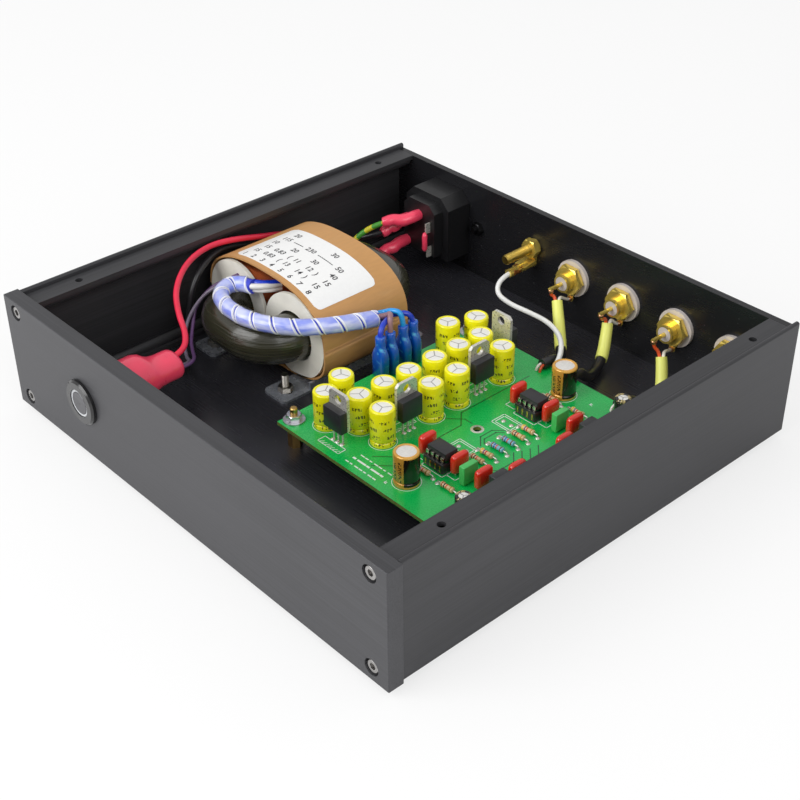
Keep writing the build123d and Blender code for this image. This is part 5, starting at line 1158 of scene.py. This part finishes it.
class PREAMP_OT_board(bpy.types.Operator):
    """Finish the board, and add its printed outlines, pads, solder and traces"""
    bl_idname = "preamp.board"
    bl_label = "Circuit board"

    # Corners of printed boxes on the board, in millimetres from its left front corner.
    BOXES = ((20.0, 3.6, 32.0, 7.4), (32.6, 27.2, 36.6, 39.2), (32.6, 65.8, 36.6, 77.8),
             (56.0, 36.4, 66.0, 43.6), (57.0, 37.4, 65.0, 42.6), (56.0, 60.4, 66.0, 67.6),
             (57.0, 61.4, 65.0, 66.6), (57.8, 22.0, 68.8, 33.0), (57.8, 70.6, 68.8, 81.6),
             (51.6, 24.2, 56.4, 33.2), (68.6, 24.2, 73.4, 33.2), (51.6, 72.7, 56.4, 81.7),
             (68.6, 72.7, 73.4, 81.7))
    # Runs of a printed trace, in millimetres from the same corner.
    TRACES = (
        ((42.0, 12.0), (50.0, 20.0), (50.0, 50.0), (44.0, 56.0), (44.0, 94.0)),
        ((46.0, 8.0), (53.0, 15.0), (58.0, 15.0)), ((40.0, 46.0), (48.0, 54.0), (52.0, 54.0)),
        ((76.0, 36.0), (80.0, 40.0), (80.0, 48.0), (76.0, 52.0)),
        ((76.8, 34.0), (82.4, 39.6), (82.4, 50.0), (77.4, 55.0)),
        ((78.0, 33.0), (84.8, 39.8), (84.8, 52.0), (78.4, 58.4)),
        ((79.4, 32.4), (87.2, 40.2), (87.2, 54.0), (79.0, 62.2)),
        ((64.6, 46.0), (60.4, 50.2), (60.4, 56.4), (64.6, 60.6)),
        ((64.6, 48.0), (62.4, 50.2), (62.4, 56.4), (64.6, 58.6)), ((20.0, 44.0), (30.0, 54.0), (38.0, 54.0)),
        ((8.0, 80.0), (16.0, 88.0), (16.0, 100.0)),
        ((98.0, 20.0), (104.0, 26.0), (104.0, 80.0), (98.0, 86.0)))
    SIGNS = ((56.5, 4.5), (74.0, 96.5), (97.0, 14.0), (100.0, 92.0))
    TRACE_WIDTH = 0.45
    PRINT_WIDTH = 0.34
    PRINT_LIFT = 0.005
    PRINT_THICKNESS = 0.02
    DOME = ((1.0, 0.0), (0.98, 0.06), (0.6, 0.22), (0.34, 0.5), (0.1, 0.56))
    PLATED_RING = ((1.62, 0.0), (1.62, 0.05), (2.6, 0.05), (2.7, 0.0))

    def execute(self, context):
        dress(finish("solder_mask", solder_mask, tone("mask")), "circuit_board")
        dress(finish("brass_pillar", metal, srgb(196, 160, 96), 0.3, 500.0), "board_standoffs")
        dress(steel(), "board_nuts")
        self.traces()
        self.print()
        self.pads()
        return {"FINISHED"}

    def on_board(self, x, y, lift=0.0):
        return Vector((BOARD_LOW.x + x * MM, BOARD_LOW.y + y * MM, BOARD_TOP + lift * MM))

    def strip(self, shape, a, b, width, lift=PRINT_LIFT):
        """A thin flat bar on the board between two points."""
        start, end = self.on_board(*a, lift), self.on_board(*b, lift)
        onward = (end - start).normalized() * width * MM / 2
        side = Vector((-onward.y, onward.x, 0.0))
        start, end = start - onward, end + onward
        corners = [start - side, end - side, end + side, start + side]
        shape.skin([corners, [corner + UP * self.PRINT_THICKNESS * MM for corner in corners]])

    def traces(self):
        """Dark traces under the mask."""
        shape = Shape()
        for run in self.TRACES:
            for a, b in zip(run, run[1:]):
                self.strip(shape, a, b, self.TRACE_WIDTH, 0.0)
        dark = finish("trace_under_mask", plastic, srgb(6, 84, 40), 0.3, 0.4)
        shape.piece("board_traces", [dark], "board_green")

    def print(self):
        """White outlines: a box round each flat part, a ring round each can, short strokes and signs."""
        shape = Shape()
        for x0, y0, x1, y1 in self.BOXES:
            corners = ((x0, y0), (x1, y0), (x1, y1), (x0, y1))
            for a, b in zip(corners, corners[1:] + corners[:1]):
                self.strip(shape, a, b, self.PRINT_WIDTH)
        for x0, y0, x1, y1 in self.BOXES[:3]:
            wide, deep = x1 - x0, y1 - y0
            count = int(max(wide, deep) / 1.5)
            for step in range(1, count):
                if wide > deep:
                    x = x0 + wide * step / count
                    self.strip(shape, (x - 0.7, y0), (x + 0.7, y0 + 1.5), 0.26)
                else:
                    y = y0 + deep * step / count
                    self.strip(shape, (x1 - 1.5, y - 0.7), (x1, y + 0.7), 0.26)
        # Three rows of short strokes where small print would be, each with its place and width.
        for row, (y, thick) in enumerate(((3.2, 0.55), (6.4, 0.9), (9.4, 0.55))):
            for step in range(7):
                x = 37.0 + row * 0.8 + step * 2.5
                self.strip(shape, (x, y), (x + (1.3, 0.8, 1.6)[(step + row) % 3], y), thick)
        low, high = self.PRINT_LIFT, self.PRINT_LIFT + self.PRINT_THICKNESS
        for node in ("filter_capacitors", "signal_capacitors"):
            for _, place, size in seats(node):
                place.translation.z = BOARD_TOP
                inner = size.x / 2 / MM + 0.35
                outer = inner + 0.25
                shape.turned(((inner, low), (outer, low), (outer, high), (inner, high), (inner, low)), place,
                             sides=40, ends=False)
        for x, y in self.SIGNS:
            for turn in (0.0, 0.7, 1.4):
                self.strip(shape, (x, y), (x + 1.2 * cos(turn), y + 1.2 * sin(turn)), 0.3)
        white = finish("white_print", plastic, srgb(232, 240, 234), 0.45, 0.0)
        shape.piece("board_print", [white], "board_green")

    def pads(self):
        """Tinned rings and domes of solder where leads go through, and the plated hole in the middle."""
        spots = []
        for _, place, size in seats("resistors"):
            reach = max(size.x, size.y) / 2 - 0.3 * MM
            along = Vector((0.0, reach, 0.0) if size.y > size.x else (reach, 0.0, 0.0))
            spots += [place.translation + along * side for side in (-1, 1)]
        for _, place, size in seats("regulators"):
            along = mm(LEG_PITCH, 0.0, 0.0) if size.x > size.y else mm(0.0, LEG_PITCH, 0.0)
            spots += [place.translation + along * step for step in (-1, 0, 1)]
        spots += [self.on_board(x, y) for x, y in ((59.0, 40.0), (63.2, 40.0), (59.0, 64.0), (63.2, 64.0))]
        shape = Shape()
        for spot in spots:
            shape.turned(self.DOME, Matrix.Translation((spot.x, spot.y, BOARD_TOP)), sides=18)
        shape.turned(self.PLATED_RING, Matrix.Translation(self.on_board(56.0, 52.8)), sides=36, ends=False)
        shape.piece("board_solder", [tin()], "silver_steel", angle=70.0)


def electrolytic_can(name, r, h, looks, slot, node, place):
    """A can: a groove above its foot, a rolled shoulder, and a top set in the sleeve's edge."""
    sleeve = ((r - 0.4, 0.0), (r - 0.05, 0.12), (r, 0.5), (r, 1.7), (r - 0.14, 1.92), (r - 0.42, 2.15),
              (r - 0.45, 2.3), (r - 0.36, 2.5), (r - 0.1, 2.75), (r, 3.0), (r, h - 0.75), (r - 0.1, h - 0.4),
              (r - 0.35, h - 0.12), (r - 0.75, h), (r - 1.15, h - 0.02), (r - 1.2, h - 0.16),
              (r - 1.2, h - 0.5))
    top = ((r - 1.2, h - 0.6), (r - 1.2, h - 0.34), (r - 1.5, h - 0.26), (0.6, h - 0.24))
    shape = Shape()
    shape.turned(sleeve, Matrix(), 0, 40)
    shape.turned(top, Matrix(), 1, 40)
    return shape.piece(name, looks, slot, node, place, 50.0)


class PREAMP_OT_filter_capacitors(bpy.types.Operator):
    """Build the yellow filter capacitors with their printed sleeves and scored tops"""
    bl_idname = "preamp.filter_capacitors"
    bl_label = "Filter capacitors"

    def execute(self, context):
        radius, slot, node = FILTER_CAN_RADIUS, "cap_yellow", "filter_capacitors"
        ink = srgb(40, 38, 20)
        looks = [finish("yellow_sleeve", can_sleeve, tone("yellow_sleeve"), ink, radius, CAN_MARKS_PITCH),
                 finish("can_top", scored_top, radius)]
        for number, place, size in seats(node):
            place = place @ Matrix.Rotation(number * 0.9, 4, "Z")
            name = f"filter_capacitor_{number:02d}"
            if number == 1:
                shared = electrolytic_can(name, radius, size.z / MM, looks, slot, node, place).data
            else:
                placed(name, shared, node, place)
        return {"FINISHED"}


class PREAMP_OT_signal_capacitors(bpy.types.Operator):
    """Build the black and gold coupling capacitors and the two small ones"""
    bl_idname = "preamp.signal_capacitors"
    bl_label = "Coupling capacitors"

    LARGE_RADIUS = 4.0

    def execute(self, context):
        for number, place, size in seats("signal_capacitors"):
            radius = size.x / 2 / MM
            if radius > self.LARGE_RADIUS:
                looks = [finish("gold_and_black_sleeve", gold_and_black_sleeve, radius),
                         finish("plain_can_top", metal, srgb(236, 233, 228), 0.3, 1200.0, 0.4)]
            else:
                looks = [finish("dark_sleeve", can_sleeve, srgb(28, 26, 30), srgb(200, 180, 120), radius,
                                CAN_MARKS_PITCH), finish("can_top", scored_top, FILTER_CAN_RADIUS)]
            electrolytic_can(f"signal_capacitor_{number}", radius, size.z / MM, looks, "cap_dark",
                             "signal_capacitors", place @ Matrix.Rotation(-0.5, 4, "Z"))
        return {"FINISHED"}


class PREAMP_OT_regulators(bpy.types.Operator):
    """Build the upright regulators with their holed tabs and tinned legs"""
    bl_idname = "preamp.regulators"
    bl_label = "Regulators"

    TURNS = (0.0, 180.0, 90.0, 90.0)
    HALF, BODY_HIGH, THICK, TAB, TAB_HIGH, LEG = 5.1, 9.2, 3.2, 1.3, 6.4, 6.4
    TOP = LEG + BODY_HIGH
    HOLE = 1.9

    def execute(self, context):
        looks = [finish("regulator_moulding", plastic, srgb(42, 42, 45), 0.45, 0.1), tin()]
        half, top, leg = self.HALF, self.TOP, self.LEG
        for (number, place, size), turn in zip(seats("regulators"), self.TURNS):
            if (size.x > size.y) != (turn in (0.0, 180.0)):
                raise ValueError(f"regulator {number} is turned the wrong way")
            shift = mm(0.0, (self.THICK - self.TAB) / 2, 0.0)
            place = place @ Matrix.Rotation(radians(turn), 4, "Z") @ Matrix.Translation(shift)
            shape = Shape()
            shape.block((-half, -self.THICK, leg), (half, 0.0, top), 0, 0.3)
            dimple = Matrix.Translation(mm(half - 1.9, -self.THICK - 0.02, top - 1.9))
            facing = Matrix.Rotation(pi / 2, 4, "X")
            shape.turned(((0.2, 0.0), (0.7, 0.0), (0.8, 0.06)), dimple @ facing, 0, 20)
            self.tab(shape)
            for x in (-LEG_PITCH, 0.0, LEG_PITCH):
                shape.block((x - 0.65, -0.5, leg - 1.6), (x + 0.65, 0.0, leg + 0.3), 1, 0.06)
                shape.block((x - 0.4, -0.5, 0.0), (x + 0.4, 0.0, leg - 1.5), 1, 0.06)
            shape.piece(f"regulator_{number}", looks, "regulator_dark", "regulators", place)
        return {"FINISHED"}

    def tab(self, shape):
        """The metal tab: cut corners at the top and a round hole."""
        half, foot, high = self.HALF, self.LEG, self.TOP + self.TAB_HIGH
        cut, parts = 1.3, 8
        centre = Vector((0.0, self.TOP + self.TAB_HIGH / 2))
        edge = [(-half, foot), (half, foot), (half, high - cut), (half - cut, high), (cut - half, high),
                (-half, high - cut)]
        outer = [Vector(a).lerp(Vector(b), step / parts) for a, b in zip(edge, edge[1:] + edge[:1])
                 for step in range(parts)]
        hole = [centre + (point - centre).normalized() * self.HOLE for point in outer]
        lines = ((hole, 0.0), (outer, 0.0), (outer, self.TAB), (hole, self.TAB), (hole, 0.0))
        shape.skin([[mm(x, depth, z) for x, z in line] for line, depth in lines], 1, ends=False)


class PREAMP_OT_chips(bpy.types.Operator):
    """Build the eight-legged chips in their sockets"""
    bl_idname = "preamp.chips"
    bl_label = "Chips and sockets"

    COLUMNS = [(column - 1.5) * LEG_PITCH for column in range(4)]

    def execute(self, context):
        looks = [finish("socket_moulding", plastic, srgb(34, 34, 36), 0.4, 0.2),
                 finish("chip_moulding", plastic, srgb(46, 46, 49), 0.5, 0.0),
                 finish("leg_plate", metal, srgb(216, 208, 190), 0.22, 900.0),
                 finish("socket_contact", metal, srgb(206, 164, 86), 0.22, 900.0)]
        for number, place, _ in seats("op_amps"):
            shape = Shape()
            self.socket(shape)
            self.chip(shape)
            shape.piece(f"op_amp_{number}", looks, "chip_black", "op_amps", place)
        return {"FINISHED"}

    def socket(self, shape):
        half, deep, high = 5.1, 5.0, 4.6
        for side in (-1, 1):
            shape.block((-half, side * 2.6, 0.6), (half, side * deep, high), 0, 0.15)
            for x in self.COLUMNS:
                shape.block((x - 0.45, side * deep, 1.2), (x + 0.45, side * (deep + 0.05), high - 0.7),
                            3, 0.02)
                shape.block((x - 0.3, side * 3.5, 0.0), (x + 0.3, side * 4.1, 0.8), 3)
        for x in (0.5 - half, half - 0.5):
            shape.block((x - 0.5, -2.7, 0.8), (x + 0.5, 2.7, high - 0.6), 0, 0.12)

    def chip(self, shape):
        half, wide, low, high = 4.8, 3.2, 5.2, 8.5
        shape.block((-half, -wide, low), (half, wide, high), 1, 0.35)
        dimple = Matrix.Translation(mm(1.4 - half, 1.5 - wide, high))
        shape.turned(((0.25, 0.0), (0.6, 0.0), (0.72, 0.03)), dimple, 0, 18)
        out = wide + 0.85
        inner = out - 0.25
        for x in self.COLUMNS:
            for side in (-1, 1):
                shape.block((x - 0.75, side * wide, low + 1.4), (x + 0.75, side * out, low + 1.7), 2, 0.05)
                shape.block((x - 0.75, side * inner, low - 0.2), (x + 0.75, side * out, low + 1.6), 2, 0.05)
                shape.block((x - 0.3, side * inner, low - 0.9), (x + 0.3, side * out, low), 2, 0.05)


class PREAMP_OT_film_capacitors(bpy.types.Operator):
    """Build the dipped red capacitors and the green and black box ones"""
    bl_idname = "preamp.film_capacitors"
    bl_label = "Film capacitors"

    # Height in millimetres, and the shares of the thickness and the width there.
    LEVELS = ((1.0, 0.3, 0.5), (1.15, 0.6, 0.78), (1.6, 0.88, 0.94), (2.4, 0.97, 1.0), (6.6, 1.0, 1.0),
              (7.8, 0.93, 0.97), (8.5, 0.74, 0.88), (8.85, 0.45, 0.7), (9.0, 0.2, 0.45))
    FOOT = 0.9
    # The green ones are thinner than the first half thickness, and the red ones wider than the second.
    THIN, LONG = 1.5, 3.8

    def execute(self, context):
        paints = {"red": finish("dipped_red", plastic, srgb(226, 44, 28), 0.26, 0.6),
                  "green": finish("box_green", plastic, srgb(74, 190, 96), 0.36, 0.2),
                  "black": finish("box_black", plastic, srgb(46, 46, 50), 0.42, 0.1)}
        counts = dict.fromkeys(paints, 0)
        for _, place, size in seats("film_capacitors"):
            x, y, top = size.x / 2 / MM, size.y / 2 / MM, size.z / MM
            kind = "green" if x < self.THIN else "red" if y > self.LONG else "black"
            counts[kind] += 1
            shape = Shape()
            if kind == "red":
                shape.skin([[mm(a * x * thin, b * y * long, height) for a, b in oval(28, 0.62)]
                            for height, thin, long in self.LEVELS])
            else:
                shape.block((-x, -y, self.FOOT), (x, y, top), 0, 0.3)
                shape.block((0.2 - x, 0.2 - y, self.FOOT - 0.3), (x - 0.2, y - 0.2, self.FOOT + 0.3), 0, 0.1)
            for leg in (-y / 2, y / 2):
                shape.pipe([(0.0, leg, 0.0), (0.0, leg, 0.6), (0.0, leg, 1.4)], FINE_LEAD, 1)
            shape.piece(f"film_capacitor_{kind}_{counts[kind]}", [paints[kind], tin()], "film_red",
                        "film_capacitors", place, 60.0)
        return {"FINISHED"}


class PREAMP_OT_resistors(bpy.types.Operator):
    """Build the small resistors with their colour bands and bent leads"""
    bl_idname = "preamp.resistors"
    bl_label = "Resistors"

    BEIGE, BLUE = srgb(214, 182, 136), srgb(120, 176, 196)
    BANDS = (
        (BEIGE, (srgb(150, 70, 30), srgb(30, 28, 26), srgb(206, 80, 34), srgb(170, 130, 50))),
        (BEIGE, (srgb(226, 190, 40), srgb(110, 50, 120), srgb(190, 40, 30), srgb(170, 130, 50))),
        (BLUE, (srgb(120, 60, 40), srgb(40, 60, 150), srgb(200, 50, 40), srgb(110, 60, 40))),
        (BLUE, (srgb(200, 50, 40), srgb(110, 50, 120), srgb(30, 28, 26), srgb(110, 60, 40))),
    )
    BAND_MIDDLES = (-2.1, -1.1, -0.1, 2.1)
    # Which of the four paints each of the twelve resistors has, from left to right.
    ORDER = (1, 0, 0, 1, 2, 2, 0, 1, 0, 1, 0, 1)
    HIGH = 1.2
    OUTLINE = ((0.3, -3.15), (0.8, -3.05), (1.08, -2.8), (1.15, -2.3), (1.12, -1.8), (0.94, -1.5),
               (0.9, -1.2), (0.9, 1.2), (0.94, 1.5), (1.12, 1.8), (1.15, 2.3), (1.08, 2.8), (0.8, 3.05),
               (0.3, 3.15))
    LEAD = ((3.0, HIGH), (4.5, HIGH), (4.9, HIGH - 0.15), (5.1, HIGH - 0.6), (5.1, 0.0))

    def execute(self, context):
        paints = [finish(f"resistor_paint_{number}", resistor_paint, body, [*zip(self.BAND_MIDDLES, shades)])
                  for number, (body, shades) in enumerate(self.BANDS, start=1)]
        lie = Matrix.Translation(mm(0.0, 0.0, self.HIGH)) @ Matrix.Rotation(pi / 2, 4, "Y")
        for (number, place, size), kind in zip(seats("resistors"), self.ORDER):
            shape = Shape()
            shape.turned(self.OUTLINE, lie, 0, 20)
            for side in (-1, 1):
                shape.pipe([(side * x, 0.0, z) for x, z in self.LEAD], FINE_LEAD, 1)
            looks = [paints[kind], tin()]
            turn = Matrix.Rotation(pi / 2 if size.y > size.x else 0.0, 4, "Z")
            shape.piece(f"resistor_{number:02d}", looks, "resistor_body", "resistors", place @ turn, 60.0)
        return {"FINISHED"}


class PREAMP_OT_connectors(bpy.types.Operator):
    """Build the blue push-on connectors on their upright tabs"""
    bl_idname = "preamp.connectors"
    bl_label = "Push-on connectors"

    # Height, half width and half thickness in millimetres, and how square the sleeve is there.
    LEVELS = ((0.3, 3.5, 2.0, 0.55), (0.5, 3.75, 2.15, 0.55), (8.4, 3.8, 2.2, 0.55), (10.6, 3.6, 2.15, 0.6),
              (12.2, 3.1, 2.1, 0.75), (13.4, 2.5, 2.05, 0.9), (14.2, 2.2, 2.05, 1.0), (16.0, 2.05, 2.05, 1.0),
              (18.4, 2.1, 2.1, 1.0), (18.7, 1.7, 1.7, 1.0))

    def execute(self, context):
        looks = [finish("clear_blue_sleeve", clear_sleeve, tone("connector")), tin()]
        for number, spot in enumerate(connector_spots(), start=1):
            shape = Shape()
            shape.skin([[mm(x * wide, y * thick, height) for x, y in oval(32, power)]
                        for height, wide, thick, power in self.LEVELS])
            shape.block((-3.15, -0.4, 0.0), (3.15, 0.4, 1.6), 1, 0.08)
            place = Matrix.Translation((spot.x, spot.y, BOARD_TOP))
            shape.piece(f"quick_connect_{number}", looks, "connector_blue", "quick_connects", place, 60.0)
        return {"FINISHED"}


class PREAMP_PT_panel(bpy.types.Panel):
    """The preamp's pieces, its colours and its stage"""
    bl_label = "Phono preamp"
    bl_idname = "PREAMP_PT_panel"
    bl_space_type = "VIEW_3D"
    bl_region_type = "UI"
    bl_category = "Preamp"

    def draw(self, context):
        layout = self.layout
        for operator in OPERATORS:
            layout.operator(operator.bl_idname)
        for settings in (context.scene.preamp_colours, context.scene.preamp_stage):
            for name in settings.__annotations__:
                layout.prop(settings, name)


OPERATORS = (
    PREAMP_OT_stage, PREAMP_OT_cords, PREAMP_OT_case, PREAMP_OT_button, PREAMP_OT_inlet, PREAMP_OT_jacks,
    PREAMP_OT_ground_post, PREAMP_OT_transformer, PREAMP_OT_board, PREAMP_OT_filter_capacitors,
    PREAMP_OT_signal_capacitors, PREAMP_OT_regulators, PREAMP_OT_chips, PREAMP_OT_film_capacitors,
    PREAMP_OT_resistors, PREAMP_OT_connectors,
)
CLASSES = (PreampColours, PreampStage, *OPERATORS, PREAMP_PT_panel)


def register():
    for part in CLASSES:
        bpy.utils.register_class(part)
    bpy.types.Scene.preamp_colours = bpy.props.PointerProperty(type=PreampColours)
    bpy.types.Scene.preamp_stage = bpy.props.PointerProperty(type=PreampStage)


def unregister():
    del bpy.types.Scene.preamp_stage
    del bpy.types.Scene.preamp_colours
    for part in reversed(CLASSES):
        bpy.utils.unregister_class(part)


def main():
    register()
    for operator in OPERATORS:
        group, name = operator.bl_idname.split(".")
        getattr(getattr(bpy.ops, group), name)()


if __name__ == "__main__":
    main()
